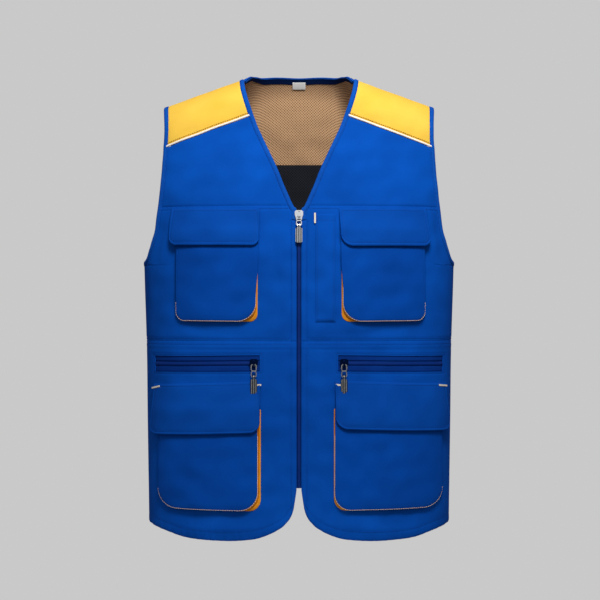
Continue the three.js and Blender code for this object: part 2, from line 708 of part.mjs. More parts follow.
function makeBackPanel() {
  const top = backLine(-BACK_YOKE_SEAM - GAP / 2);
  const halfCount = ACROSS_BACK.length - 1;
  const backCloth = (armRows, hemUp, outer, inner) => {
    const bottom = (angle) => dropTo(180 - angle, backHem(angle) + hemUp);
    const armEnd = level(placeAt(SIDE_SEAM, underarmSeam), top, bottom);
    const rows = [0, ...armRows.map((r) => r * armEnd), ...BELOW_ARM.map((r) => lerp(armEnd, 1, r))];
    const place = (i, j) => {
      const share = ACROSS_BACK[Math.abs(i - halfCount)] * Math.sign(i - halfCount);
      const angle = share * armAngle(top, bottom, rows[j]);
      return onBack(angle, lerp(top(angle), bottom(angle), rows[j]));
    };
    return cloth(2 * halfCount, rows.length - 1, place, outer, inner);
  };
  add("back_panel", "blue", backCloth(ARM_ROWS, 0, 0, -CLOTH));
  const liningOuter = -CLOTH - LAYER_GAP;
  const lining = backCloth(LINING_ROWS, LINING_HEM, liningOuter, liningOuter - MESH_CLOTH);
  add("back_lining_lower", "blackMesh", lining);
}

// Bindings: strips between an edge and the same edge moved over the skin
function strip(curve, width, count, mirror = 1) {
  const far = curve.aside(width);
  const shares = steps(count);
  const place = (i, j) => {
    const row = curve.rowAt(shares[i]);
    return across(mirror, (j === 0 ? curve : far).read(row));
  };
  return place;
}

function makeNeckBinding() {
  const count = 30;
  const half = strip(neckEdge, -BINDING_WIDTH, count);
  const place = (i, j) => across(i < count ? -1 : 1, half(i < count ? i : 2 * count - i, j));
  const geometry = cloth(2 * count, 1, place, BINDING_PROUD, BINDING_PROUD - BINDING_THICKNESS);
  add("neck_binding", "binding", geometry);
}

function makeArmBinding(side) {
  const count = 48;
  const place = strip(armEdge, ARM_BINDING_WIDTH, count, side);
  const geometry = cloth(count, 1, place, BINDING_PROUD, BINDING_PROUD - BINDING_THICKNESS);
  add(`armhole_binding_${sideName(side)}`, "binding", geometry);
}

// Patch pockets. All lines of a pocket are written on the wearer's left, as x and z seen from the front.
const bulgeAcross = through(BULGE_ACROSS, "share", "high");
const bulgeDown = through(BULGE_DOWN, "share", "high");
const pocketTop = (row) => -row.seam - row.drop;

// How far a pocket's line at x and z is shifted upwards by its tilt.
function tiltAt(row, x, z) {
  const out = (x - row.inner) / (row.outer - row.inner);
  const down = Math.max(0, (pocketTop(row) - z) / row.height);
  return row.footRise * out * down ** 3 - row.tilt * out;
}

// Height of a pocket's outer face over the skin.
function bulge(row, place) {
  const point = skin(place.angle, place.drop);
  const x = Math.abs(point.x);
  const down = (pocketTop(row) + tiltAt(row, x, point.z) - point.z) / row.height;
  return POCKET_DEPTH * bulgeAcross((x - row.inner) / (row.outer - row.inner)) * bulgeDown(down);
}

// Height of the lower edge of a rectangle whose lower corners are round.
function roundedFoot(x, start, end, bottom, startRadius, endRadius) {
  const inStart = start + startRadius - x;
  const inEnd = x - end + endRadius;
  if (inStart > 0) return bottom + startRadius - Math.sqrt(Math.max(0, startRadius ** 2 - inStart ** 2));
  if (inEnd > 0) return bottom + endRadius - Math.sqrt(Math.max(0, endRadius ** 2 - inEnd ** 2));
  return bottom;
}

const CORNER_STEPS = [0, 0.13, 0.5, 1];
const ALONG_FOOT = [0.32, 0.57, 0.75, 0.89];

function roundedColumns(start, end, startRadius, endRadius) {
  const first = CORNER_STEPS.map((share) => start + startRadius * share);
  const last = CORNER_STEPS.map((share) => end - endRadius * share).reverse();
  const between = ALONG_FOOT.map((share) => lerp(start + startRadius, end - endRadius, share));
  return [...first, ...between, ...last];
}

function roundedCloth(row, start, end, top, bottom, radii, flare, rows, outer, inner) {
  const xs = roundedColumns(start, end, radii[0], radii[1]);
  const place = (i, j) => {
    const foot = roundedFoot(xs[i], start, end, bottom, radii[0], radii[1]);
    const z = lerp(top, foot, rows[j]);
    const x = xs[i] + (flare * (top - z)) / (top - bottom);
    return across(row.side, frontPlace(x, z + tiltAt(row, x, z)));
  };
  return cloth(xs.length - 1, rows.length - 1, place, outer, inner);
}

function makePocketFace(row) {
  const top = pocketTop(row) - row.mouth;
  const bottom = pocketTop(row) - row.height + row.outerInset;
  const start = row.inner + row.innerInset;
  const end = row.outer - row.outerInset;
  const outer = (place) => bulge(row, place);
  const inner = (place) => bulge(row, place) - CLOTH;
  const radii = [row.innerCorner, row.corner];
  return roundedCloth(row, start, end, top, bottom, radii, 0, [0, 0.3, 0.6, 0.85, 1], outer, inner);
}

// Rows of a flap, as shares of the pocket's height. They follow the steps of the bulge.
const FLAP_ROWS = [0, 0.1, 0.135, 0.17, 0.213, 0.27];

function makePocketFlap(row) {
  const top = pocketTop(row);
  const under = (place) => bulge(row, place) + LAYER_GAP;
  const outer = (place) => under(place) + CLOTH;
  const radii = [row.flapCorner, row.flapOuterCorner];
  const rows = [...FLAP_ROWS.map((share) => (share * row.height) / row.flapHeight), 1];
  return roundedCloth(
    row, row.flapInner, row.flapOuter, top, top - row.flapHeight, radii, row.flare, rows, outer, under,
  );
}

// Points down one side of a pocket, along its foot and up the other side, each with the way out of the
// pocket.
function pocketOutline(start, end, top, bottom, startRadius, endRadius) {
  const points = [];
  for (const share of [0, 0.35, 0.7]) {
    points.push({ x: start, z: lerp(top, bottom + startRadius, share), outX: -1, outZ: 0 });
  }
  for (const share of steps(4)) {
    const turn = (share * Math.PI) / 2;
    const x = start + startRadius * (1 - Math.cos(turn));
    const z = bottom + startRadius * (1 - Math.sin(turn));
    points.push({ x, z, outX: -Math.cos(turn), outZ: -Math.sin(turn) });
  }
  for (const share of ALONG_FOOT) {
    points.push({ x: lerp(start + startRadius, end - endRadius, share), z: bottom, outX: 0, outZ: -1 });
  }
  for (const share of steps(3)) {
    const turn = (share * Math.PI) / 2;
    const x = end - endRadius * (1 - Math.sin(turn));
    const z = bottom + endRadius * (1 - Math.cos(turn));
    points.push({ x, z, outX: Math.sin(turn), outZ: -Math.cos(turn) });
  }
  for (const share of [0.3, 0.65, 1]) {
    points.push({ x: end, z: lerp(bottom + endRadius, top, share), outX: 1, outZ: 0 });
  }
  return points;
}

// The gusset: a wall from a foot on the body cloth up to the underside of the pocket's face.
function makePocketGusset(row) {
  const top = pocketTop(row) - row.mouth;
  const bottom = pocketTop(row) - row.height;
  const foot = pocketOutline(row.inner, row.outer, top, bottom, row.footCorner, row.corner);
  const headStart = row.inner + row.innerInset + GUSSET_INSET;
  const headEnd = row.outer - row.outerInset - GUSSET_INSET;
  const headBottom = bottom + row.outerInset + GUSSET_INSET;
  const radii = [row.innerCorner - GUSSET_INSET, row.corner - GUSSET_INSET];
  const head = pocketOutline(headStart, headEnd, top, headBottom, ...radii);
  const point = (spot, away, height) => {
    const x = spot.x + spot.outX * away;
    const z = spot.z + spot.outZ * away;
    return onSkin(across(row.side, frontPlace(x, z + tiltAt(row, x, z))), height);
  };
  const outer = [];
  const inner = [];
  foot.forEach((low, k) => {
    const high = head[k];
    const under = bulge(row, frontPlace(high.x, high.z + tiltAt(row, high.x, high.z))) - CLOTH - GAP;
    const wide = Math.hypot(low.x - high.x, low.z - high.z);
    const slant = Math.hypot(wide, under - LAYER_GAP);
    const rise = ((wide / slant) * GUSSET_THICKNESS) / 2;
    const away = (((under - LAYER_GAP) / slant) * GUSSET_THICKNESS) / 2;
    const lowHeight = LAYER_GAP + rise;
    const highHeight = under - rise;
    outer.push([point(low, away, lowHeight + rise), point(high, away, highHeight + rise)]);
    inner.push([point(low, -away, lowHeight - rise), point(high, -away, highHeight - rise)]);
  });
  return shell(outer, inner);
}

function makePockets() {
  for (const row of POCKETS) {
    add(`${row.name}_pocket_${sideName(row.side)}`, "blueShade", makePocketFace(row));
    add(`${row.name}_gusset_${sideName(row.side)}`, "orange", makePocketGusset(row));
    add(`${row.name}_flap_${sideName(row.side)}`, "blue", makePocketFlap(row));
  }
  const penColumns = [PEN_POCKET_INNER, PEN_POCKET_OUTER];
  const penTop = -CHEST_SEAM - PEN_POCKET_TOP;
  const place = (i, j) => frontPlace(penColumns[i], penTop - (PEN_POCKET_HEIGHT * j) / 4);
  add("pen_pocket", "blueShade", cloth(1, 4, place, LAYER_GAP + CLOTH, LAYER_GAP));
}

// Zips
const frontTapeFace = BINDING_PROUD - BINDING_THICKNESS - GAP;
const frontCoilFoot = frontTapeFace + GAP;
const zipTop = -V_DEPTH - ZIP_TOP_INSET;
const frontSliderZ = zipTop - SLIDER_HEIGHT / 2;
const zipEnd = -V_DEPTH - ZIP_LENGTH;

function band(xs, zs, outer, inner, side = 1) {
  const place = (i, j) => across(side, frontPlace(xs[i], zs(xs[i], j)));
  return (rows) => cloth(xs.length - 1, rows, place, outer, inner);
}

function makeFrontZip() {
  const rows = 9;
  const half = TAPE_WIDTH / 2;
  const tape = band([-half, -ZIP_EDGE, ZIP_EDGE, half], (x, j) => lerp(zipTop, zipEnd, j / rows),
    frontTapeFace, frontTapeFace - TAPE_THICKNESS);
  add("front_zip_tape", "tape", tape(rows));
  const coilTop = frontSliderZ - SLIDER_HEIGHT / 2 - GAP;
  const coil = band([-COIL_WIDTH / 2, COIL_WIDTH / 2], (x, j) => lerp(coilTop, zipEnd, j / rows),
    frontCoilFoot + COIL_THICKNESS, frontCoilFoot);
  add("front_zip_coil", "coil", coil(rows));
}

const waistSliderX = WAIST_ZIP_INNER + WAIST_SLIDER;
const waistZipMiddle = (x) => zipSlotTop(x) - WAIST_ZIP_HEIGHT / 2;

function makeWaistZip(side) {
  const between = LOWER_COLUMNS.slice(...slotColumns).slice(1);
  const tapeColumns = [WAIST_ZIP_INNER - TAPE_LAP, WAIST_ZIP_INNER, ...between, WAIST_ZIP_OUTER];
  tapeColumns.push(WAIST_ZIP_OUTER + TAPE_LAP);
  const tapeRow = (x, j) => zipSlotTop(x) + [TAPE_LAP, 0, -WAIST_ZIP_HEIGHT, -WAIST_ZIP_HEIGHT - TAPE_LAP][j];
  const tapeFace = -CLOTH - LAYER_GAP;
  const tape = band(tapeColumns, tapeRow, tapeFace, tapeFace - TAPE_THICKNESS, side);
  add(`waist_zip_tape_${sideName(side)}`, "tape", tape(3));
  const coilColumns = [waistSliderX + SLIDER_WIDTH / 2 + GAP, ...between, WAIST_ZIP_OUTER - GAP];
  const coilRow = (x, j) => waistZipMiddle(x) + COIL_WIDTH * (0.5 - j);
  const coil = band(coilColumns, coilRow, tapeFace + GAP + COIL_THICKNESS, tapeFace + GAP, side);
  add(`waist_zip_coil_${sideName(side)}`, "coil", coil(1));
}

// Sliders and pulls, in a frame with x to the right, y up and z away from the cloth
const POINT_MERGE = 1e-4;

function solid(geometry) {
  const bare = geometry.index ? geometry.toNonIndexed() : geometry.clone();
  bare.deleteAttribute("normal");
  bare.deleteAttribute("uv");
  const merged = mergeVertices(bare, POINT_MERGE);
  const triVerts = new Uint32Array(merged.index.array);
  const mesh = new wasm.Mesh({ numProp: 3, vertProperties: merged.attributes.position.array, triVerts });
  return new wasm.Manifold(mesh);
}

function joined(geometries) {
  const mesh = geometries.map(solid).reduce((sum, next) => sum.add(next)).getMesh();
  const geometry = new THREE.BufferGeometry();
  geometry.setAttribute("position", new THREE.Float32BufferAttribute(mesh.vertProperties, 3));
  geometry.setIndex(Array.from(mesh.triVerts));
  return geometry;
}

const shapeOf = (points) => new THREE.Shape(points.map(([x, y]) => new THREE.Vector2(x, y)));
function plate(shape, depth) {
  return new THREE.ExtrudeGeometry(shape, { depth, bevelEnabled: false, curveSegments: 6 });
}
const alongX = new THREE.Matrix4().makeBasis(
  new THREE.Vector3(0, 1, 0), new THREE.Vector3(0, 0, 1), new THREE.Vector3(1, 0, 0),
);

// A profile in y and z, drawn out along x and centred on it.
function profileAlongX(shape, width) {
  return plate(shape, width).translate(0, 0, -width / 2).applyMatrix4(alongX);
}

const sliderFront = SLIDER_LIFT + SLIDER_PLATE;
const hingeOut = sliderFront + SWING_ROOM;
const bailRoom = 2 * SWING_ROOM;
const hingeDown = -BAIL_OPENING / 2 + SWING_ROOM;

function makeSlider(foot) {
  const half = SLIDER_WIDTH / 2;
  const top = SLIDER_HEIGHT / 2;
  const cut = SLIDER_WIDTH / 6;
  const shield = shapeOf([
    [-half + cut, top], [-half, top - cut], [-half, 0], [-half + cut, -top], [half - cut, -top], [half, 0],
    [half, top - cut], [half - cut, top],
  ].reverse());
  const body = plate(shield, SLIDER_PLATE).translate(0, 0, SLIDER_LIFT);
  const neckDepth = SLIDER_LIFT - foot + SLIDER_PLATE / 2;
  const neck = new THREE.BoxGeometry(SLIDER_NECK, SLIDER_HEIGHT - cut, neckDepth);
  neck.translate(0, 0, foot + neckDepth / 2);
  const leg = BAIL_OPENING / 2;
  const legOut = leg + BAIL_WIRE;
  const foundation = sliderFront - SLIDER_PLATE / 2;
  const crown = sliderFront + bailRoom;
  const arch = shapeOf([
    [-legOut, foundation], [-leg, foundation], [-leg, crown], [leg, crown], [leg, foundation], [legOut, foundation],
    [legOut, crown], [leg, crown + BAIL_WIRE], [-leg, crown + BAIL_WIRE], [-legOut, crown],
  ]);
  return joined([body, neck, profileAlongX(arch, BAIL_WIDTH)]);
}

// Outline of the link, a figure of eight. Down is a share of its length, half of its half width.
const LINK_OUTLINE = [
  { down: 0, half: 0.55 }, { down: 0.09, half: 0.9 }, { down: 0.22, half: 1 }, { down: 0.4, half: 0.93 },
  { down: 0.52, half: 0.68 }, { down: 0.64, half: 0.9 }, { down: 0.8, half: 0.95 }, { down: 0.93, half: 0.85 },
  { down: 1, half: 0.55 },
];
const LINK_HOLES = [{ start: 0, end: 0.46 }, { start: 0.58, end: 1 }];

function makeLink(length) {
  const start = LINK_BAR / 2;
  const half = LINK_WIDTH / 2;
  const right = LINK_OUTLINE.map((row) => [row.half * half, start - row.down * length]);
  const left = right.map(([x, y]) => [-x, y]).reverse();
  const shape = shapeOf([...right, ...left].reverse());
  for (const hole of LINK_HOLES) {
    const top = start - LINK_BAR - hole.start * (length - 2 * LINK_BAR);
    const bottom = start - LINK_BAR - hole.end * (length - 2 * LINK_BAR);
    const side = half - LINK_BAR;
    const cut = side / 3;
    shape.holes.push(shapeOf([
      [-side + cut, top], [side - cut, top], [side, top - cut], [side, bottom + cut], [side - cut, bottom],
      [-side + cut, bottom], [-side, bottom + cut], [-side, top - cut],
    ]));
  }
  return plate(shape, LINK_THICKNESS).translate(0, 0, -LINK_THICKNESS / 2);
}

// The tab, from the centre of its eye, which goes round the link's lower bar.
const eyeRoom = Math.hypot(LINK_BAR, LINK_THICKNESS) / 2 + GAP;
const eyeRadius = eyeRoom + TAB_THICKNESS / 2;

function makeTab() {
  const half = TAB_WIDTH / 2;
  const neck = TAB_EYE_WIDTH / 2;
  const shoulder = -eyeRadius - TAB_WIDTH / 4;
  const cut = TAB_WIDTH / 8;
  const outline = shapeOf([
    [-neck, -eyeRoom - GAP / 2], [-neck, -eyeRadius - GAP], [-half, shoulder], [-half, -TAB_LENGTH + cut],
    [-half + cut, -TAB_LENGTH], [half - cut, -TAB_LENGTH], [half, -TAB_LENGTH + cut], [half, shoulder],
    [neck, -eyeRadius - GAP], [neck, -eyeRoom - GAP / 2],
  ]);
  const body = plate(outline, TAB_THICKNESS).translate(0, 0, -TAB_THICKNESS / 2);
  const ring = new THREE.Shape().absarc(0, 0, eyeRadius, 0, 2 * Math.PI);
  ring.holes.push(new THREE.Path().absarc(0, 0, eyeRoom, 0, 2 * Math.PI, true));
  const eye = profileAlongX(ring, TAB_EYE_WIDTH);
  const ribHeight = TAB_LENGTH + shoulder - 2 * cut;
  const ribMiddle = (shoulder - TAB_LENGTH) / 2;
  const rib = new THREE.BoxGeometry(TAB_WIDTH / 2, ribHeight, TAB_RIB + TAB_THICKNESS);
  rib.translate(0, ribMiddle, TAB_RIB / 2);
  return joined([body, eye, rib]);
}

// A slider with its pull, square to the cloth at a place of the front.
function makePull(prefix, suffix, place, foot, linkLength) {
  const normal = skinNormal(place.angle, place.drop);
  const holder = new THREE.Group();
  holder.position.copy(skin(place.angle, place.drop));
  holder.rotation.x = Math.atan2(-normal.y, normal.z);
  vest.add(holder);
  add(`${prefix}_slider${suffix}`, "metal", makeSlider(foot), holder);
  const hinge = new THREE.Group();
  hinge.position.set(0, hingeDown, hingeOut);
  holder.add(hinge);
  add(`${prefix}_pull_link${suffix}`, "metal", makeLink(linkLength), hinge);
  const tab = add(`${prefix}_pull_tab${suffix}`, "metal", makeTab(), hinge);
  tab.position.y = LINK_BAR - linkLength;
}

function makeLabel() {
  const top = -neckSeam.rows[CURVE_STEPS].drop;
  const half = toDegrees(Math.asin(LABEL_WIDTH / 2 / CHEST_HALF_WIDTH));
  const face = -CLOTH - MESH_CLOTH - 2 * LAYER_GAP;
  const place = (i, j) => onBack((i - 1) * half, top + (LABEL_HEIGHT * j) / 2);
  add("size_label", "label", cloth(2, 2, place, face, face - LABEL_THICKNESS));
}

for (const side of [-1, 1]) {
  makeShoulder(side);
  makeMiddlePanel(side);
  makeLowerPanel(side);
  makeArmBinding(side);
  makeWaistZip(side);
  const spot = frontPlace(waistSliderX, waistZipMiddle(waistSliderX));
  makePull("waist", `_${sideName(side)}`, across(side, spot), -CLOTH, WAIST_LINK_LENGTH);
}
makeBackYoke();
makeBackPanel();
makeNeckBinding();
makePockets();
makeFrontZip();
makePull("front", "", frontPlace(0, frontSliderZ), frontCoilFoot, FRONT_LINK_LENGTH);
makeLabel();

export default vest;
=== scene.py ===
"""Looks of the utility work vest: cloth, seams, stitching, zips, metal and light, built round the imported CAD.

Sizes in the code are millimetres in the CAD's frame (+Z up, the front faces -Y, the wearer's left is +X), and
meshes are written in metres.
"""

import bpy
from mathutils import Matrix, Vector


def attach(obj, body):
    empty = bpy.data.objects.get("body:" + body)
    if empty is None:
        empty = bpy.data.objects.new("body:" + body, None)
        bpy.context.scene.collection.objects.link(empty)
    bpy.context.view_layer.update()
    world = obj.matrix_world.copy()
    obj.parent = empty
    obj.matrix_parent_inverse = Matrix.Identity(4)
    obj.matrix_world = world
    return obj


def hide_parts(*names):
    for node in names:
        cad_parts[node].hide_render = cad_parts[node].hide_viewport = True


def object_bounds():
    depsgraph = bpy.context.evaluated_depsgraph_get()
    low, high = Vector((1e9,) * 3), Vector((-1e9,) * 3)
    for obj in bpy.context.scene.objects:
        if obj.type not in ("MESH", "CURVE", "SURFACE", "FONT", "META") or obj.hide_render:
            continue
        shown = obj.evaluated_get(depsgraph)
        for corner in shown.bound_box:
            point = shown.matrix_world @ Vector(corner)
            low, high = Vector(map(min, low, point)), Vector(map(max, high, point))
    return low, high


bl_info = {
    "name": "Utility work vest",
    "version": (1, 0, 0),
    "blender": (4, 5, 0),
    "location": "View3D > Sidebar > Vest",
    "description": "Builds the cloth, trims, zips and studio of a utility work vest around its CAD frame",
    "category": "Add Mesh",
}

import math

import bpy
import numpy as np
from bpy.props import FloatProperty, PointerProperty
from mathutils import Vector

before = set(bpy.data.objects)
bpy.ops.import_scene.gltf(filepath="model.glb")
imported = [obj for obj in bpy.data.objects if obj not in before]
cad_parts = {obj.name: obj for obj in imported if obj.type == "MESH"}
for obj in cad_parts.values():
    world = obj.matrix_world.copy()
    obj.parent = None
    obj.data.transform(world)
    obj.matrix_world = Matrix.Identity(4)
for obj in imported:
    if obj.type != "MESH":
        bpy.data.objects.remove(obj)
CAD_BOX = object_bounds()

MM = 0.001
BODY = "vest"
SIDES = {"right": -1, "left": 1}

# Body sizes, as in the CAD
LENGTH = 672
CHEST_HALF_WIDTH = 231
FRONT_DEPTH = 109
BACK_DEPTH = 104
SQUARENESS = 2.6
SHOULDER_ROUND = 55
SHOULDER_DROP = 40
SHOULDER_HALF_WIDTH = 202
SHOULDER_BLEND = 10
NAPE_HALF_WIDTH = 62
NECK_HALF_WIDTH = 82.5
NECK_BACK_RISE = 27
NAPE_POWER = 3
NECK_BACK_REACH = 51
V_DEPTH = 197
ARMHOLE_DEPTH = 230
BACK_HEM_RISE = 37
LINING_HEM = 18
FOLD_HEIGHT = 2
CHEST_SEAM = 192
WAIST_SEAM = 386
BACK_YOKE_SEAM = 116
YOKE_FRONT_LENGTH = 96
SIDE_SEAM = 90

# Cloth, gaps and bindings
CLOTH = 1.6
MESH_CLOTH = 1
GAP = 0.4
LAYER_GAP = 0.8
BINDING_WIDTH = 7.5
ARM_BINDING_WIDTH = 8
BINDING_PROUD = 0.6
BINDING_THICKNESS = 3
PIPING_WIDTH = 3
PIPING_PROUD = 1.2

# Zips
ZIP_EDGE = 3.5
ZIP_LENGTH = 399
TAPE_WIDTH = 28
TAPE_THICKNESS = 1
COIL_WIDTH = 5.2
SLIDER_WIDTH = 12
SLIDER_HEIGHT = 12.5
WAIST_ZIP_DROP = 19
WAIST_ZIP_HEIGHT = 23
WAIST_ZIP_INNER = 56
WAIST_ZIP_OUTER = 211
WAIST_ZIP_OUTER_DROP = 3
WAIST_SLIDER = 8.5
TAPE_LAP = 3

# Pockets
POCKET_DEPTH = 9
GUSSET_THICKNESS = 1.4
GUSSET_INSET = 1.7
PEN_POCKET = {"inner": 23.4, "outer": 52.5, "top": 12, "height": 154}
LABEL = {"width": 20, "height": 12, "thickness": 0.8}

# Sections of the worn vest: share of LENGTH down, then shares of CHEST_HALF_WIDTH, FRONT_DEPTH and BACK_DEPTH
SECTIONS = np.array([
    (-0.08, 1, 0.7, 0.71),
    (0, 1, 0.715, 0.73),
    (0.09, 1, 0.735, 0.81),
    (0.18, 1, 0.845, 0.93),
    (0.283, 1, 0.93, 0.99),
    (0.4, 1, 0.99, 0.98),
    (0.6, 0.983, 0.973, 0.885),
    (0.75, 0.978, 0.966, 0.905),
    (1.03, 0.965, 1, 1),
])
# Edge of the V: share of V_DEPTH down, share of NECK_HALF_WIDTH out
V_EDGE = np.array([
    (0.97, 0.1), (0.825, 0.255), (0.703, 0.371), (0.563, 0.526),
    (0.44, 0.664), (0.362, 0.745), (0.161, 0.91), (0.045, 0.975),
])
# Back edge of the neck: share of NECK_HALF_WIDTH out, share of NECK_BACK_REACH over the shoulder
BACK_NECK_EDGE = np.array([(0.985, 0.08), (0.9, 0.28), (0.8, 0.58), (0.6, 0.86), (0, 1)])
# Edge of the armhole: share of ARMHOLE_DEPTH below the shoulder tip, share of CHEST_HALF_WIDTH out
ARMHOLE_EDGE = np.array([
    (0.985, 0.977), (0.925, 0.953), (0.865, 0.933), (0.8, 0.914), (0.678, 0.896),
    (0.55, 0.88), (0.42, 0.868), (0.295, 0.86), (0.165, 0.856),
])
# Front hem: share of the half width out, share of LENGTH down
HEM = np.array([
    (0.015, 0.891), (0.038, 0.937), (0.09, 0.964), (0.141, 0.9765), (0.192, 0.985), (0.243, 0.9915),
    (0.294, 0.9955), (0.4, 0.999), (0.5, 1), (0.66, 0.998), (0.76, 0.994), (0.85, 0.986), (0.98, 0.976),
])
# Broad folds of the CAD: shares out, down, lean in degrees, shares of LENGTH long and wide, share of
# FOLD_HEIGHT
BROAD_FOLDS = (
    (-0.7, 0.23, 24, 0.0893, 0.0357, 1.1),
    (0.72, 0.24, -22, 0.0893, 0.0357, 1),
    (-0.5, 0.2, 18, 0.1042, 0.0387, -0.8),
    (0.5, 0.2, -18, 0.1042, 0.0387, -0.7),
    (-0.13, 0.68, 4, 0.1786, 0.0268, 0.65),
    (0.14, 0.7, -3, 0.1786, 0.0268, 0.65),
    (-0.55, 0.98, 90, 0.1339, 0.0238, 0.7),
    (0.55, 0.98, 90, 0.1339, 0.0238, 0.7),
)
# Fine creases of the cloth: x, z, lean in degrees, half length, half width and height in millimetres
CREASES = (
    (206, -232, -10, 46, 7, -2.4),
    (192, -222, -12, 40, 7, 1.5),
    (-205, -240, 12, 44, 8, -1.6),
    (-190, -228, 16, 40, 8, 1.2),
    (150, -150, -38, 60, 14, 0.9),
    (-150, -150, 38, 60, 14, 0.9),
    (95, -140, -24, 55, 13, -0.8),
    (-98, -138, 24, 55, 13, -0.8),
    (-212, -345, 20, 40, 9, -1.2),
    (214, -350, -16, 40, 9, -1.2),
    (212, -470, -28, 50, 9, -1.3),
    (-214, -480, 24, 50, 9, -1.2),
    (32, -560, -5, 80, 8, 0.7),
    (-30, -545, 6, 80, 8, 0.7),
    (120, -372, 84, 70, 7, -0.6),
    (-120, -373, 96, 70, 7, -0.6),
    (28, -300, 3, 60, 7, -0.5),
    (-32, -290, -4, 60, 7, -0.5),
    (-110, -655, 88, 60, 8, 0.8),
    (120, -655, 93, 60, 8, 0.8),
)
# Places of the three sliders, where the cloth lies flat: x, z
SLIDER_SPOTS = ((0, -205), (-64.5, -417), (64.5, -417))
FLAT_RADIUS = 28
POCKETS = {
    "chest_right": dict(
        side=-1, seam=CHEST_SEAM, drop=4, flap_height=54, height=162, mouth=34, tilt=-1,
        inner=59, outer=176.5,
        flap_inner=56, flap_outer=184, flare=0, flap_corner=11, flap_outer_corner=11, corner=12,
        foot_rise=0, foot_corner=12,
        inner_inset=2.5, inner_corner=27, outer_inset=1.2, closing=0.8),
    "chest_left": dict(
        side=1, seam=CHEST_SEAM, drop=4, flap_height=55, height=162, mouth=34, tilt=-1,
        inner=61, outer=181,
        flap_inner=57, flap_outer=183.5, flare=3, flap_corner=17, flap_outer_corner=11, corner=12,
        foot_rise=0, foot_corner=12,
        inner_inset=2, inner_corner=27, outer_inset=1.2, closing=0.75),
    "lower_right": dict(
        side=-1, seam=WAIST_SEAM, drop=57, flap_height=73.5, height=185.5, mouth=40.6, tilt=6,
        inner=54.5, outer=202.5,
        flap_inner=55, flap_outer=211.5, flare=0, flap_corner=15, flap_outer_corner=10, corner=28,
        foot_rise=7, foot_corner=17,
        inner_inset=4.4, inner_corner=27, outer_inset=1.2, closing=0),
    "lower_left": dict(
        side=1, seam=WAIST_SEAM, drop=56, flap_height=69, height=185.5, mouth=40.6, tilt=6,
        inner=50, outer=206.5,
        flap_inner=51.5, flap_outer=214.5, flare=0, flap_corner=18, flap_outer_corner=10, corner=28,
        foot_rise=7, foot_corner=17,
        inner_inset=1, inner_corner=23, outer_inset=1.2, closing=0),
}
# How far a filled pocket stands out, across its width and down from the flap's seam, as shares of
# POCKET_DEPTH
BULGE_ACROSS = np.array([(-0.12, 0.72), (0, 0.82), (0.2, 0.97), (0.5, 1), (0.78, 0.9), (1, 0.62), (1.1, 0.3)])
BULGE_DOWN = np.array([
    (0, 0), (0.12, 0.02), (0.165, 0.4), (0.21, 0.85), (0.3, 1), (0.8, 1), (1, 0.84), (1.05, 0.8),
])

# The same down a flap, which slopes evenly from its seam to the fullest part of the pocket
FLAP_DOWN = np.array([(0, 0), (0.07, 0.3), (0.14, 0.6), (0.21, 0.9), (0.3, 1.02), (0.5, 1)])


def through(rows, column=1):
    """Cubic curve through a table's rows, with the slope at each row that its two neighbours have."""
    keys, values = rows[:, 0].astype(float), rows[:, column].astype(float)
    last = len(keys) - 1
    before = np.maximum(np.arange(last + 1) - 1, 0)
    after = np.minimum(np.arange(last + 1) + 1, last)
    slopes = (values[after] - values[before]) / (keys[after] - keys[before])

    def read(x):
        at = np.clip(x, keys[0], keys[-1])
        i = np.clip(np.searchsorted(keys, at) - 1, 0, last - 1)
        run = keys[i + 1] - keys[i]
        t = (at - keys[i]) / run
        start = (values[i] * (1 + 2 * t) + slopes[i] * run * t) * (1 - t) ** 2
        return start + (values[i + 1] * (3 - 2 * t) - slopes[i + 1] * run * (1 - t)) * t ** 2

    return read


# How far the panels run in under the bindings and lap in their seams
BINDING_TUCK = 2
SEAM_LAP = 0.35

width_share = through(SECTIONS, 1)
front_share = through(SECTIONS, 2)
back_share = through(SECTIONS, 3)
hem_drop = through(HEM)
bulge_across = through(BULGE_ACROSS)
bulge_down = through(BULGE_DOWN)
flap_down = through(FLAP_DOWN)


def half_width(z):
    return CHEST_HALF_WIDTH * width_share(-z / LENGTH)


def lerp(a, b, t):
    return a + (b - a) * t


def ridges(x, z, rows):
    """Sum of bell-shaped ridges: each falls off as exp(-s^2) along its own length and across it."""
    height = np.zeros(np.broadcast(x, z).shape)
    for cx, cz, lean, long, wide, high in rows:
        turn = math.radians(lean)
        dx, dz = x - cx, z - cz
        along = dx * math.sin(turn) + dz * math.cos(turn)
        aside = dx * math.cos(turn) - dz * math.sin(turn)
        height += high * np.exp(-(along / long) ** 2 - (aside / wide) ** 2)
    return height


FOLD_ROWS = [
    (out * CHEST_HALF_WIDTH, -down * LENGTH, lean, long * LENGTH, wide * LENGTH, high * FOLD_HEIGHT)
    for out, down, lean, long, wide, high in BROAD_FOLDS
]


def shoulder_line(across, front):
    """Height of the shoulder line: level behind the neck, then sloping through zero at the binding's edge.

    On the back it rises by a cubic curve towards the nape."""
    out = np.abs(across) * CHEST_HALF_WIDTH
    start = NECK_HALF_WIDTH + BINDING_WIDTH
    past = out - NAPE_HALF_WIDTH
    blended = (past + SHOULDER_BLEND) ** 2 / (4 * SHOULDER_BLEND)
    run = np.where(past < -SHOULDER_BLEND, 0, np.where(past > SHOULDER_BLEND, past, blended))
    slope = SHOULDER_DROP * (start - NAPE_HALF_WIDTH - run) / (SHOULDER_HALF_WIDTH - start)
    nape = np.where(front, 0, NECK_BACK_RISE * np.maximum(0, 1 - (out / NECK_HALF_WIDTH) ** NAPE_POWER))
    return slope + nape


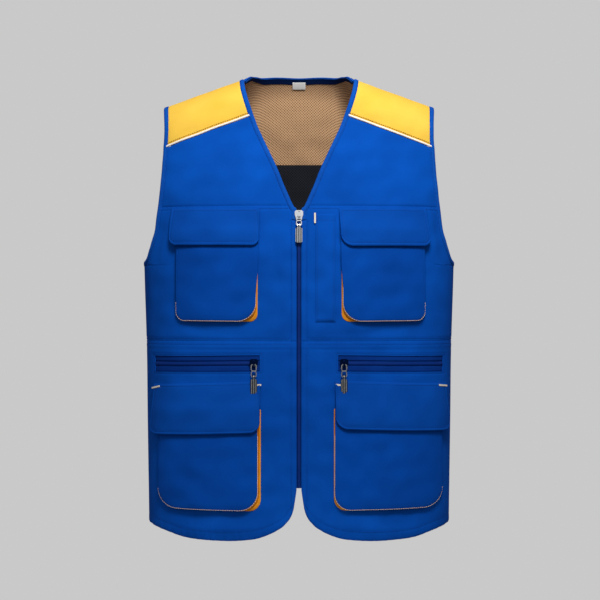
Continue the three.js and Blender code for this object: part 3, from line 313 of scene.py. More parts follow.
def skin(angle, drop):
    """Outer face of the body cloth at an angle round the body and a drop along the cloth.

    Across is the sine of the angle. The drop first turns over a round shoulder and then runs straight
    down. The depth is a superellipse of the angle whose size follows the sections, plus the broad folds."""
    angle, drop = np.broadcast_arrays(np.asarray(angle, float), np.asarray(drop, float))
    turn = np.radians(angle)
    front = (np.cos(turn) >= 0) == (drop >= 0)
    far = np.abs(drop)
    across = np.sin(turn)
    arc = np.minimum(far / SHOULDER_ROUND, np.pi / 2)
    straight = np.maximum(0, far - SHOULDER_ROUND * np.pi / 2)
    z = shoulder_line(across, front) - SHOULDER_ROUND * (1 - np.cos(arc)) - straight
    x = half_width(z) * across
    depth = np.where(front, FRONT_DEPTH * front_share(-z / LENGTH), BACK_DEPTH * back_share(-z / LENGTH))
    depth = depth + np.where(front, ridges(x, z, FOLD_ROWS), 0)
    curve = np.maximum(0, 1 - np.abs(across) ** SQUARENESS) ** (1 / SQUARENESS)
    depth = depth * curve * np.sin(arc)
    return np.stack([x, np.where(front, -depth, depth), z], -1)


def skin_slopes(angle, drop):
    step = 0.4
    round_ = (skin(angle + step, drop) - skin(angle - step, drop)) / (2 * step)
    down = (skin(angle, drop + step) - skin(angle, drop - step)) / (2 * step)
    return round_, down


def skin_normal(angle, drop):
    round_, down = skin_slopes(angle, drop)
    normal = np.cross(down, round_)
    return normal / np.linalg.norm(normal, axis=-1, keepdims=True)


def unevenness(x, z):
    """Low waves of the cloth: a sum of sines with seeded directions and lengths of 26 to 75 mm."""
    random = np.random.default_rng(7)
    height = np.zeros(np.broadcast(x, z).shape)
    for _ in range(14):
        length, turn, phase = random.uniform(26, 75), random.uniform(0, np.pi), random.uniform(0, 2 * np.pi)
        height += np.sin((x * math.cos(turn) + z * math.sin(turn)) * 2 * np.pi / length + phase)
    return height


def crease(points):
    """Creases and unevenness of the front, and unevenness alone at the back.

    Both fade at the sides, at the sliders and at the back of the neck."""
    x, y, z = points[..., 0], points[..., 1], points[..., 2]
    look = bpy.context.scene.vest_looks
    fade = 1 - np.abs(np.clip(x / half_width(z), -1, 1)) ** 6
    for spot_x, spot_z in SLIDER_SPOTS:
        away = np.hypot(x - spot_x, z - spot_z) / FLAT_RADIUS
        fade = fade * np.where(y < 0, 1 - np.exp(-away ** 2), 1)
    fade = fade * np.clip(np.abs(y) / 30, 0, 1) * np.where(y > 0, np.clip(-z / 70, 0, 1), 1)
    waves = unevenness(x, z) * look.wave_height / MM
    folds = np.where(y < 0, ridges(x, z, CREASES), 0) * look.crease_strength
    return (waves + folds) * fade


def lift(angle, drop, height):
    """Point at a height over the skin, along its normal, with the cloth's creases added to the height."""
    base = skin(angle, drop)
    rise = height + crease(base)
    return base + skin_normal(angle, drop) * rise[..., None]


def drop_to(angle, z):
    """Drop at which the cloth reaches the height z: on the front within 90 degrees, else on the back."""
    turn = np.radians(angle)
    below = shoulder_line(np.sin(turn), np.cos(turn) >= 0) - z
    rounded = SHOULDER_ROUND * np.arccos(1 - np.clip(below, 0, SHOULDER_ROUND) / SHOULDER_ROUND)
    return np.where(below >= SHOULDER_ROUND, SHOULDER_ROUND * np.pi / 2 + below - SHOULDER_ROUND, rounded)


def front_place(x, z):
    """Angle and drop of the spot on the front that shows at x and z from straight ahead."""
    angle = np.degrees(np.arcsin(np.clip(x / half_width(z), -0.99999, 0.99999)))
    return angle, drop_to(angle, z)


def back_line(z):
    return lambda angle: drop_to(180 - angle, z)


def front_line(z):
    return lambda angle: drop_to(angle, z)


class SkinCurve:
    """A line on the skin, through places joined smoothly and read by the share of its length."""

    STEPS = 240

    def __init__(self, angles, drops):
        self.angle, self.drop = np.asarray(angles, float), np.asarray(drops, float)
        points = skin(self.angle, self.drop)
        steps = np.linalg.norm(np.diff(points, axis=0), axis=-1)
        self.far = np.concatenate([[0], np.cumsum(steps)])
        self.length = self.far[-1]

    @classmethod
    def through_places(cls, angles, drops, until=1.0):
        at = np.linspace(0, 1, len(angles))
        t = np.linspace(0, until, cls.STEPS + 1)
        return cls(through(np.stack([at, angles], 1))(t), through(np.stack([at, drops], 1))(t))

    def read(self, shares):
        far = np.clip(shares, 0, 1) * self.length
        return np.interp(far, self.far, self.angle), np.interp(far, self.far, self.drop)

    def aside(self, distance):
        """The same rows moved over the skin, to the left of the curve's direction as seen from outside."""
        angle, drop = self.angle, self.drop
        round_, down = skin_slopes(angle, drop)
        last = len(angle) - 1
        before = np.maximum(np.arange(last + 1) - 1, 0)
        after = np.minimum(np.arange(last + 1) + 1, last)
        turned, lowered = angle[after] - angle[before], drop[after] - drop[before]
        along = round_ * turned[:, None] + down * lowered[:, None]
        along /= np.linalg.norm(along, axis=-1, keepdims=True)
        away = np.cross(skin_normal(angle, drop), along) * distance
        rr, rd, dd = (round_ ** 2).sum(-1), (round_ * down).sum(-1), (down ** 2).sum(-1)
        ar, ad = (away * round_).sum(-1), (away * down).sum(-1)
        scale = rr * dd - rd * rd
        return SkinCurve(angle + (ar * dd - ad * rd) / scale, drop + (ad * rr - ar * rd) / scale)


PLACKET_END = -V_DEPTH - 2 * BINDING_WIDTH
PLACKET = ZIP_EDGE + BINDING_WIDTH
UNDERARM = -SHOULDER_DROP - ARMHOLE_DEPTH


def neck_curve():
    angle_of = np.degrees(np.arcsin(BACK_NECK_EDGE[:, 0] * NECK_HALF_WIDTH / CHEST_HALF_WIDTH))
    reach = -BACK_NECK_EDGE[:, 1] * NECK_BACK_REACH
    zip_angle, zip_drop = front_place(np.array([ZIP_EDGE] * 2), np.array([PLACKET_END, -V_DEPTH + GAP]))
    v_angle, v_drop = front_place(V_EDGE[:, 1] * NECK_HALF_WIDTH, -V_EDGE[:, 0] * V_DEPTH)
    point = math.degrees(math.asin(NECK_HALF_WIDTH / CHEST_HALF_WIDTH))
    angles = np.concatenate([zip_angle, v_angle, [point], angle_of, [-angle_of[-2]]])
    drops = np.concatenate([zip_drop, v_drop, [0], reach, [reach[-2]]])
    return SkinCurve.through_places(angles, drops, (len(angles) - 2) / (len(angles) - 1))


def arm_curve():
    angle, drop = front_place(
        ARMHOLE_EDGE[:, 1] * CHEST_HALF_WIDTH, -SHOULDER_DROP - ARMHOLE_EDGE[:, 0] * ARMHOLE_DEPTH)
    tip = math.degrees(math.asin(SHOULDER_HALF_WIDTH / CHEST_HALF_WIDTH))
    low = float(drop_to(SIDE_SEAM, UNDERARM))
    angles = np.concatenate([[SIDE_SEAM], angle, [tip], angle[::-1], [SIDE_SEAM]])
    drops = np.concatenate([[low], drop, [0], -drop[::-1], [-low]])
    return SkinCurve.through_places(angles, drops)


NECK_EDGE = neck_curve()
NECK_SEAM = NECK_EDGE.aside(-BINDING_WIDTH + BINDING_TUCK)
ARM_EDGE = arm_curve()
ARM_SEAM = ARM_EDGE.aside(ARM_BINDING_WIDTH - BINDING_TUCK)


def seam_angle(curve, top, bottom, shares):
    """Angle at which a seam's front part crosses each share of the way from the top line to the bottom."""
    front = curve.drop >= 0
    angle, drop = curve.angle[front], curve.drop[front]
    level = (drop - top(angle)) / (bottom(angle) - top(angle))
    order = np.argsort(level)
    return np.interp(shares, level[order], angle[order])


def arm_angle(top, bottom, shares):
    start = (ARM_SEAM.drop[0] - top(ARM_SEAM.angle[0])) / (bottom(ARM_SEAM.angle[0]) - top(ARM_SEAM.angle[0]))
    return np.where(shares >= start, SIDE_SEAM, seam_angle(ARM_SEAM, top, bottom, shares))


def shell(outer, inner, keep=None):
    """Closed sheet between two grids of points: the kept cells of both, joined along every open edge."""
    columns, rows = outer.shape[:2]
    keep = np.ones((columns - 1, rows - 1), bool) if keep is None else keep
    index = np.arange(columns * rows).reshape(columns, rows)
    a, b, c, d = index[:-1, :-1], index[1:, :-1], index[1:, 1:], index[:-1, 1:]
    under = columns * rows
    quads = [np.stack([a, d, c, b], -1)[keep], np.stack([a, b, c, d], -1)[keep] + under]
    pad = np.pad(keep, 1)
    sides = (
        (~pad[:-2, 1:-1], a, d), (~pad[1:-1, 2:], d, c), (~pad[2:, 1:-1], c, b), (~pad[1:-1, :-2], b, a),
    )
    for empty, start, end in sides:
        p, q = start[keep & empty], end[keep & empty]
        quads.append(np.stack([q, p, p + under, q + under], -1))
    faces = np.concatenate(quads)
    points = np.concatenate([outer.reshape(-1, 3), inner.reshape(-1, 3)])
    inside = np.zeros(len(faces), int)
    inside[len(quads[0]):len(quads[0]) + len(quads[1])] = 1
    return facing_out(points, faces), inside


def facing_out(points, faces):
    """The faces turned round where the volume that they enclose comes out negative."""
    p = points[faces]
    first = np.cross(p[:, 1] - p[:, 0], p[:, 2] - p[:, 0])
    second = np.cross(p[:, 2] - p[:, 0], p[:, 3] - p[:, 0])
    volume = (p[:, 0] * (first + second)).sum()
    return points, faces if volume > 0 else faces[:, ::-1]


class Parts:
    """Collects the shells of one object, then makes the object with its UV map and its two materials."""

    def __init__(self):
        self.points, self.faces, self.inside, self.uvs = [], [], [], []
        self.count = 0

    def add(self, outer, inner, uv, keep=None):
        (points, faces), inside = shell(outer, inner, keep)
        flat = uv.reshape(-1, 2)
        self.put(points, faces, np.concatenate([flat, flat]), inside)

    def put(self, points, faces, uvs, inside=None):
        self.points.append(points)
        self.faces.append(faces + self.count)
        self.uvs.append(uvs)
        self.inside.append(np.zeros(len(faces), int) if inside is None else inside)
        self.count += len(points)

    def make(self, name, replaces=(), materials=(), body=BODY, sharp=38):
        points, faces = np.concatenate(self.points) * MM, np.concatenate(self.faces)
        uvs = np.concatenate(self.uvs) * MM
        used, faces = np.unique(faces, return_inverse=True)
        faces = faces.reshape(-1, 4)
        mesh = bpy.data.meshes.new(name)
        mesh.vertices.add(len(used))
        mesh.vertices.foreach_set("co", points[used].ravel())
        mesh.loops.add(faces.size)
        mesh.loops.foreach_set("vertex_index", faces.ravel().astype(np.int32))
        mesh.polygons.add(len(faces))
        mesh.polygons.foreach_set("loop_start", np.arange(0, faces.size, 4, dtype=np.int32))
        mesh.polygons.foreach_set("material_index", np.concatenate(self.inside).astype(np.int32))
        mesh.update(calc_edges=True)
        mesh.validate()
        layer = mesh.uv_layers.new(name="cloth")
        layer.data.foreach_set("uv", uvs[used][faces.ravel()].ravel().astype(np.float32))
        mesh.polygons.foreach_set("use_smooth", np.ones(len(mesh.polygons), bool))
        mesh.set_sharp_from_angle(angle=math.radians(sharp))
        for material in (materials * 2)[:2]:
            mesh.materials.append(material)
        piece = bpy.data.objects.new(name, mesh)
        bpy.context.scene.collection.objects.link(piece)
        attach(piece, body)
        if replaces:
            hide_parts(*replaces)
        return piece


def spans(points, axis):
    """Distance along the cloth from the first row of a grid, along one of its two directions."""
    steps = np.linalg.norm(np.diff(points, axis=axis), axis=-1)
    start = np.zeros_like(steps.take([0], axis=axis))
    return np.concatenate([start, np.cumsum(steps, axis=axis)], axis=axis)


def edge_distance(points, sides="abcd"):
    """Distance along the cloth to a grid's nearest side: a and b end its columns, c and d its rows."""
    over, down = spans(points, 0), spans(points, 1)
    far = {"a": over, "b": over[-1:] - over, "c": down, "d": down[:, -1:] - down}
    return np.minimum.reduce([far[side] for side in sides])


def rounding(distance, radius):
    """Share from 1 at an edge to 0 at a radius from it, along a quarter circle."""
    near = 1 - np.clip(distance / radius, 0, 1)
    return 1 - np.sqrt(1 - np.minimum(near, 0.96) ** 2)


GIRTH_DROP = 300
GIRTH_ANGLES = np.linspace(-180, 180, 1441)
GIRTH = spans(skin(GIRTH_ANGLES, GIRTH_DROP)[:, None], 0)[:, 0]


def girth(angle):
    """Length round the chest up to an angle, so that the weave keeps upright all over the vest."""
    return np.interp(angle, GIRTH_ANGLES, GIRTH)


def cloth(parts, angle, drop, height, thickness, sides="abcd", radius=1.2, dent=0.0, dent_width=2.2,
          keep=None):
    """Adds cloth over a grid of places. Its rims are rounded, and a dent runs along its sewn sides:
    height - dent * exp(-(distance / width)^2)."""
    angle, drop = np.broadcast_arrays(angle, drop)
    base = skin(angle, drop)
    far = edge_distance(base, sides)
    height = np.broadcast_to(height, angle.shape) - dent * np.exp(-(far / dent_width) ** 2)
    curl = thickness / 2 * rounding(far, radius) * 0.9
    outer = lift(angle, drop, height - curl)
    inner = lift(angle, drop, height - thickness + curl)
    uv = np.stack([girth(angle), drop], -1)
    parts.add(outer, inner, uv, keep)
    return outer


def even(count, ends=0.0):
    """Shares from 0 to 1. With ends above 0 they lie closer together near both ends, as a cosine does."""
    t = np.linspace(0, 1, count + 1)
    return lerp(t, (1 - np.cos(np.pi * t)) / 2, ends)


def even_angles(start, end, drop_of, count, fine=300):
    """Columns of angles, one row for each row of the cloth, that lie evenly spaced along the cloth."""
    t = (1 - np.cos(np.pi * np.linspace(0, 1, fine))) / 2
    angle = start[None, :] + (end - start)[None, :] * t[:, None]
    far = spans(skin(angle, drop_of(angle)), 0)
    shares = even(count)
    columns = [
        np.interp(shares * far[-1, j], far[:, j], angle[:, j]) for j in range(angle.shape[1])]
    return np.stack(columns, 1)


def flat_sheet(piece, points):
    """Measures a cut piece's longest run across and down, in metres, and reads the areas of its faces; nothing
    is kept of either.
    """
    across = float(spans(points, 0)[-1].max()) * MM
    down = float(spans(points, 1)[:, -1].max()) * MM
    mesh = piece.data
    areas = np.zeros(len(mesh.polygons))
    mesh.polygons.foreach_get("area", areas)


# Fronts and back

def front_band(side, top, bottom, columns, rows, height, thickness, parts, **options):
    shares = even(rows)
    start, end = seam_angle(NECK_SEAM, top, bottom, shares), arm_angle(top, bottom, shares)
    angle = even_angles(start, end, lambda a: lerp(top(a), bottom(a), shares[None, :]), columns)
    drop = lerp(top(angle), bottom(angle), shares[None, :])
    return cloth(parts, side * angle, drop, height, thickness, **options)


def chest_drop(angle):
    return drop_to(angle, -CHEST_SEAM - SEAM_LAP)


def hem_height(angle):
    return -LENGTH * hem_drop(np.abs(np.sin(np.radians(angle))))


def stitched(distance, depth=0.45, width=1.0):
    """Groove that a row of stitches presses into the cloth, as a bell over the distance from the row."""
    return -depth * np.exp(-(distance / width) ** 2)


def puckers(along, distance, reach=5, high=0.16, length=7.5):
    """Small ripples that sewing gathers along a seam, fading with the distance from it."""
    wave = np.sin(along * 2 * np.pi / length) + 0.6 * np.sin(along * 2 * np.pi / (length * 0.63) + 1.3)
    return high * wave * np.exp(-np.abs(distance) / reach)


class VEST_OT_yokes(bpy.types.Operator):
    """Makes the shoulder yokes, the piping below them and the back yoke"""

    bl_idname = "vest.yokes"
    bl_label = "Yokes"

    def execute(self, context):
        yellow, piping = paint("yellow_twill"), paint("piping")
        for word, side in SIDES.items():
            parts = Parts()
            points = front_band(
                side, np.zeros_like, lambda a: np.full_like(a, YOKE_FRONT_LENGTH - GAP),
                90, 70, 0, CLOTH, parts, dent=0.45)
            piece = parts.make(f"yoke_{word}", [f"shoulder_yoke_{word}"], (yellow,))
            flat_sheet(piece, points)
            parts = Parts()
            front_band(
                side, lambda a: np.full_like(a, YOKE_FRONT_LENGTH),
                lambda a: np.full_like(a, YOKE_FRONT_LENGTH + PIPING_WIDTH), 90, 8, PIPING_PROUD,
                PIPING_PROUD + CLOTH, parts, sides="cd", radius=1.5)
            parts.make(f"piping_{word}", [f"yoke_piping_{word}"], (piping,))
        parts = Parts()
        points = back_yoke_sheet(parts, 0, CLOTH, 0.7)
        piece = parts.make("cloth_back_yoke", ["back_yoke"], (yellow,))
        flat_sheet(piece, points)
        return {"FINISHED"}


def back_yoke_sheet(parts, height, thickness, dent=0.0, columns=110, rows=56):
    """Back yoke from armhole to armhole: the neck's seam tops its middle, the shoulder line its sides."""
    bottom = back_line(-BACK_YOKE_SEAM - SEAM_LAP)
    rows_at = even(rows)
    edge = arm_angle(np.zeros_like, bottom, rows_at)
    back = NECK_SEAM.drop < 0
    point_angle = float(np.interp(0, -NECK_SEAM.drop, NECK_SEAM.angle))
    seam_angles = np.concatenate([NECK_SEAM.angle[back][::-1], [point_angle]])
    seam_drops = np.concatenate([-NECK_SEAM.drop[back][::-1], [0]])

    def top(angle):
        out = np.abs(angle)
        return np.where(out < point_angle, np.maximum(0, np.interp(out, seam_angles, seam_drops)), 0)

    half = even_angles(
        np.zeros(rows + 1), edge, lambda a: lerp(top(a), bottom(a), rows_at[None, :]), columns // 2)
    corner = np.abs(half[:, 0] - point_angle).argmin()
    shift = (point_angle - half[corner, 0]) * (1 - rows_at)
    before, after = np.arange(1, len(half) - 1), np.arange(len(half) - 2, 0, -1)
    part = np.minimum(1, np.minimum(before / corner, after / (len(half) - 1 - corner)))
    half[1:-1] = half[1:-1] + shift[None, :] * part[:, None]
    angle = np.concatenate([-half[:0:-1], half])
    drop = -lerp(top(angle), bottom(angle), rows_at[None, :])
    return cloth(parts, angle, drop, height, thickness, dent=dent)


def back_panel_sheet(parts, height, thickness, hem_up=0.0, dent=0.0, columns=150, rows=150):
    top = back_line(-BACK_YOKE_SEAM + SEAM_LAP)

    def bottom(angle):
        rise = BACK_HEM_RISE * np.cos(np.radians(angle)) ** 2
        return drop_to(180 - angle, -LENGTH * hem_drop(1) + rise + hem_up)

    shares = even(rows)
    edge = arm_angle(top, bottom, shares)
    half = even_angles(
        np.zeros(rows + 1), edge, lambda a: lerp(top(a), bottom(a), shares[None, :]), columns // 2)
    angle = np.concatenate([-half[:0:-1], half])
    drop = -lerp(top(angle), bottom(angle), shares[None, :])
    points = skin(angle, drop)
    far = edge_distance(points, "d")
    height = height + (stitched(far - 14) if dent else 0)
    return cloth(parts, angle, drop, height, thickness, dent=dent)


class VEST_OT_back(bpy.types.Operator):
    """Makes the back panel and the two mesh linings"""

    bl_idname = "vest.back"
    bl_label = "Back"

    def execute(self, context):
        parts = Parts()
        points = back_panel_sheet(parts, 0, CLOTH, dent=0.6)
        piece = parts.make("cloth_back_panel", ["back_panel"], (paint("blue_twill"),))
        flat_sheet(piece, points)
        parts = Parts()
        points = back_yoke_sheet(parts, -CLOTH - GAP, MESH_CLOTH, columns=90, rows=46)
        piece = parts.make("lining_upper", ["back_lining_upper"], (paint("upper_mesh"),))
        flat_sheet(piece, points)
        parts = Parts()
        points = back_panel_sheet(parts, -CLOTH - LAYER_GAP, MESH_CLOTH, LINING_HEM, columns=110, rows=110)
        piece = parts.make("lining_lower", ["back_lining_lower"], (paint("lower_mesh"),))
        flat_sheet(piece, points)
        return {"FINISHED"}


class VEST_OT_fronts(bpy.types.Operator):
    """Makes the chest, middle and lower panels of both fronts"""

    bl_idname = "vest.fronts"
    bl_label = "Fronts"

    def execute(self, context):
        blue = paint("blue_twill")
        for word, side in SIDES.items():
            parts = Parts()
            points = front_band(
                side, lambda a: np.full_like(a, YOKE_FRONT_LENGTH + PIPING_WIDTH + GAP), chest_drop,
                100, 60, 0, CLOTH, parts, dent=0.45)
            piece = parts.make(f"cloth_chest_{word}", [f"front_chest_panel_{word}"], (blue,))
            flat_sheet(piece, points)
            parts = Parts()
            points = middle_panel(side, parts)
            piece = parts.make(f"cloth_middle_{word}", [f"front_middle_panel_{word}"], (blue,))
            flat_sheet(piece, points)
            parts = Parts()
            points = lower_panel(side, parts)
            piece = parts.make(f"cloth_lower_{word}", [f"front_lower_panel_{word}"], (blue,))
            flat_sheet(piece, points)
        return {"FINISHED"}


def middle_panel(side, parts, columns=110, rows=96):
    """Cloth from the chest seam to the waist seam, beside a separate placket along the zip."""
    top, bottom = front_line(-CHEST_SEAM + SEAM_LAP), front_line(-WAIST_SEAM - SEAM_LAP)
    span = WAIST_SEAM - CHEST_SEAM
    shares = even(rows)
    notch = (-PLACKET_END + GAP - CHEST_SEAM) / span
    z = -CHEST_SEAM - shares * span
    seam = seam_angle(NECK_SEAM, top, bottom, shares)
    placket = front_place(PLACKET + GAP, z)[0]
    start = np.where(shares < notch, seam, placket)
    angle = even_angles(
        start, arm_angle(top, bottom, shares), lambda a: lerp(top(a), bottom(a), shares[None, :]), columns)
    drop = lerp(top(angle), bottom(angle), shares[None, :])
    base = skin(angle, drop)
    height = stitched(base[..., 2] + CHEST_SEAM + 4, 0.7) + stitched(base[..., 2] + WAIST_SEAM - 4, 0.7)
    height += puckers(base[..., 0], base[..., 2] + CHEST_SEAM)
    height += puckers(base[..., 0], base[..., 2] + WAIST_SEAM)
    points = cloth(parts, side * angle, drop, height, CLOTH, dent=0.45)
    columns_at = np.linspace(ZIP_EDGE, PLACKET + GAP / 2, 7)
    z = np.linspace(PLACKET_END - GAP, -WAIST_SEAM - SEAM_LAP, 80)
    angle, drop = front_place(columns_at[:, None] + 0 * z[None, :], z[None, :] + 0 * columns_at[:, None])
    cloth(parts, side * angle, drop, 0, CLOTH, dent=0.35, dent_width=1.2)
    return points


def slot_top(x):
    return -WAIST_SEAM - WAIST_ZIP_DROP - WAIST_ZIP_OUTER_DROP * (x / WAIST_ZIP_OUTER)


def lower_panel(side, parts):
    """Cloth from the waist seam to the hem, over fixed angles, with the zip's slot left open."""
    xs = np.concatenate([
        np.linspace(ZIP_EDGE, WAIST_ZIP_INNER, 27)[:-1],
        np.linspace(WAIST_ZIP_INNER, WAIST_ZIP_OUTER, 71)[:-1],
        np.linspace(WAIST_ZIP_OUTER, 224, 8),
    ])
    slot = slot_top(np.minimum(xs, WAIST_ZIP_OUTER))
    angles = front_place(xs, slot)[0]
    reach = SIDE_SEAM - angles[-1]
    side_angles = SIDE_SEAM - reach * (1 - np.linspace(0, 1, 26)[1:]) ** 1.3
    angle = np.concatenate([angles, side_angles])
    slot = np.concatenate([slot, np.full(len(side_angles), slot[-1])])
    hem = hem_height(angle)
    above, across, below = np.linspace(0, 1, 11), np.linspace(0, 1, 11), np.linspace(0, 1, 112)
    z = np.concatenate([
        lerp(-WAIST_SEAM + SEAM_LAP, slot[:, None], above[None, :-1]),
        slot[:, None] - WAIST_ZIP_HEIGHT * across[None, :-1],
        lerp(slot[:, None] - WAIST_ZIP_HEIGHT, hem[:, None], below[None, :]),
    ], 1)
    angle = np.broadcast_to(angle[:, None], z.shape)
    drop = drop_to(angle, z)
    base = skin(angle, drop)
    x, z = base[..., 0], base[..., 2]
    height = stitched(z + WAIST_SEAM + 4.5, 0.7) + stitched(z + WAIST_SEAM + 12, 0.6)
    height += puckers(x, z + WAIST_SEAM) + puckers(x, z - hem_height(angle), 14, 0.3, 11)
    height += stitched(edge_distance(base, "d") - 13) + stitched(x - PLACKET, 0.9, 1.1)
    slot_z = slot_top(np.minimum(x, WAIST_ZIP_OUTER))
    above, under = z - slot_z - 2.5, slot_z - WAIST_ZIP_HEIGHT - 2.5 - z
    ends = np.maximum(WAIST_ZIP_INNER - 2.5 - x, x - WAIST_ZIP_OUTER - 2.5)
    frame_distance = np.maximum(np.maximum(above, under), ends)
    height += stitched(frame_distance, 0.8, 1.0)
    keep = np.ones((len(angle) - 1, angle.shape[1] - 1), bool)
    first = 26
    keep[first:first + 70, 10:20] = False
    return cloth(parts, side * angle, drop, height, CLOTH, dent=0.6, keep=keep)


# Bindings

# Height of the neck binding's inner side, and how far behind the shoulder line it starts
NECK_FOLD = 9.5
NECK_FOLD_START = 3


def binding_strip(parts, curve, width, count, columns=10, mirror=1):
    """Folded tape along an edge: a half sine across its width, with a stitch groove near its outer side."""
    far_side = curve.aside(width)
    shares, over = np.linspace(0, 1, count + 1), np.linspace(0, 1, columns + 1)
    a, b = curve.read(shares)
    row = np.interp(np.clip(shares, 0, 1) * curve.length, curve.far, np.arange(len(curve.far)))
    c = np.interp(row, np.arange(len(curve.far)), far_side.angle)
    d = np.interp(row, np.arange(len(curve.far)), far_side.drop)
    angle = lerp(a[:, None], c[:, None], over[None, :]) * mirror
    drop = lerp(b[:, None], d[:, None], over[None, :])
    crown = BINDING_PROUD - 0.55 + 0.75 * np.sin(np.pi * np.clip(over * 1.02, 0, 1)) ** 0.6
    groove = stitched((over - 0.82) * abs(width), 0.55, 0.8)
    along = shares[:, None] * curve.length
    ripple = 0.12 * np.sin(along * 2 * np.pi / 8.3) * over[None, :]
    height = (crown + groove)[None, :] + ripple
    cloth(parts, angle, drop, height, BINDING_THICKNESS, sides="cd", radius=1.6)


def inner_fold(parts, side):
    """Inner side of the neck binding behind the neck, turned down over the lining."""
    angle, drop = NECK_EDGE.read(np.linspace(0, 1, 400))
    back = drop < -NECK_FOLD_START
    over = even(8)[None, :]
    drop = drop[back][:, None] - NECK_FOLD * over
    angle = side * angle[back][:, None] + 0 * over
    cloth(parts, angle, drop, -CLOTH - GAP - MESH_CLOTH - 0.3, 0.6, sides="d", radius=0.5)


class VEST_OT_bindings(bpy.types.Operator):
    """Makes the folded bindings of the neck and the armholes"""

    bl_idname = "vest.bindings"
    bl_label = "Bindings"

    def execute(self, context):
        # The bindings' inner faces take a dark copy of the tape: painted shade
        tape, inside = paint("binding"), paint("binding_inside_shaded")
        parts = Parts()
        for mirror in (-1, 1):
            binding_strip(parts, NECK_EDGE, -BINDING_WIDTH, 330, mirror=mirror)
            inner_fold(parts, mirror)
        parts.make("binding_neck", ["neck_binding"], (tape, inside))
        for word, side in SIDES.items():
            parts = Parts()
            binding_strip(parts, ARM_EDGE, ARM_BINDING_WIDTH, 330, mirror=side)
            parts.make(f"binding_arm_{word}", [f"armhole_binding_{word}"], (tape, inside))
        return {"FINISHED"}


# Pockets. Their lines are written on the wearer's left, as x and z seen from the front.

FLAP_STITCH = 3.4
# Distance of a flap's stitches from its rim
FLAP_INSET = 5
# Share of a pocket's height over which its face opens off the gusset
CLOSING_RUN = 0.5
# Sideways sway of a gusset between its seams, and the depth and width of its crease
GUSSET_SWAY = 0.14
GUSSET_CREASE = 3.2
GUSSET_CREASE_WIDTH = 0.17
# Shares of a pocket's height at which its pale seam, painted highlight on real stitches, ends on the inner and
# on the outer side
SEAM_INNER_END = 0.42
SEAM_OUTER_END = 0.17


def pocket_top(row):
    return -row["seam"] - row["drop"]


def tilt_at(row, x, z):
    """How far a pocket's line at x and z is shifted upwards by its tilt, which its foot takes back."""
    out = (x - row["inner"]) / (row["outer"] - row["inner"])
    down = np.maximum(0, (pocket_top(row) - z) / row["height"])
    return row["foot_rise"] * out * down ** 3 - row["tilt"] * out


def bulge(row, x, z, shape=bulge_down):
    """Height of a filled pocket's face over the skin: one curve across the pocket times one down it."""
    down = (pocket_top(row) + tilt_at(row, x, z) - z) / row["height"]
    return POCKET_DEPTH * bulge_across((x - row["inner"]) / (row["outer"] - row["inner"])) * shape(down)


def rounded_foot(x, start, end, bottom, radii):
    """Height of the lower edge of a rectangle whose two lower corners are quarter circles."""
    in_start = np.clip(start + radii[0] - x, 0, radii[0])
    in_end = np.clip(x - end + radii[1], 0, radii[1])
    first = radii[0] - np.sqrt(radii[0] ** 2 - in_start ** 2)
    second = radii[1] - np.sqrt(radii[1] ** 2 - in_end ** 2)
    return bottom + first + second


def pocket_grid(row, start, end, top, bottom, radii, flare=0, columns=96, rows=70, closing=0):
    """Places over a pocket. Over its upper part, the share closing, its inner side lies back on the foot."""
    xs = lerp(start, end, even(columns, 0.75))
    foot = rounded_foot(xs, start, end, bottom, radii)
    z = lerp(top, foot[:, None], even(rows)[None, :])
    down = (top - z) / (top - bottom)
    x = xs[:, None] + flare * down
    if closing:
        near = 1 - (xs[:, None] - start) / (end - start)
        shut = np.clip((closing - down) / CLOSING_RUN, 0, 1)
        x = x - (start - row["inner"] + 1.4) * near ** 3 * shut ** 2 * (3 - 2 * shut)
    z = z + tilt_at(row, x, z)
    angle, drop = front_place(x, z)
    return row["side"] * angle, drop, x, z


def pocket_face(row, parts):
    top = pocket_top(row) - row["mouth"]
    bottom = pocket_top(row) - row["height"] + row["outer_inset"]
    start, end = row["inner"] + row["inner_inset"], row["outer"] - row["outer_inset"]
    radii = (row["inner_corner"], row["corner"])
    angle, drop, x, z = pocket_grid(row, start, end, top, bottom, radii, closing=row["closing"])
    far = edge_distance(skin(angle, drop), "abd")
    height = bulge(row, x, z) - 0.5 * np.exp(-(far / 3) ** 2) + stitched(far - 4.5, 0.35, 0.8)
    height += puckers(z + x, far, 3, 0.12, 9)
    return cloth(parts, angle, drop, height, CLOTH, sides="abd", radius=1.6)


def flap_shape(row):
    top = pocket_top(row)
    radii = (row["flap_corner"], row["flap_outer_corner"])
    return row["flap_inner"], row["flap_outer"], top, top - row["flap_height"], radii


def flap_height(row, x, z):
    """Flap's outer face: over the bulge by its own thickness, with its lower half standing a little off."""
    down = np.clip((pocket_top(row) + tilt_at(row, x, z) - z) / row["flap_height"], 0, 1)
    stand = bpy.context.scene.vest_looks.flap_stand / MM
    return bulge(row, x, z, flap_down) + LAYER_GAP + CLOTH + stand * down ** 2.5


def pocket_flap(row, parts):
    start, end, top, bottom, radii = flap_shape(row)
    angle, drop, x, z = pocket_grid(row, start, end, top, bottom, radii, row["flare"], 96, 46)
    far = edge_distance(skin(angle, drop), "abd")
    seam = edge_distance(skin(angle, drop), "c")
    height = flap_height(row, x, z) + 0.5 * np.exp(-((far - 1.8) / 1.2) ** 2)
    height = height + stitched(far - FLAP_INSET, 0.35, 1)
    height = height - 0.6 * np.exp(-(seam / 2.5) ** 2) + stitched(seam - FLAP_STITCH, 0.3, 1)
    return cloth(parts, angle, drop, height, CLOTH + 0.4, radius=1.8)


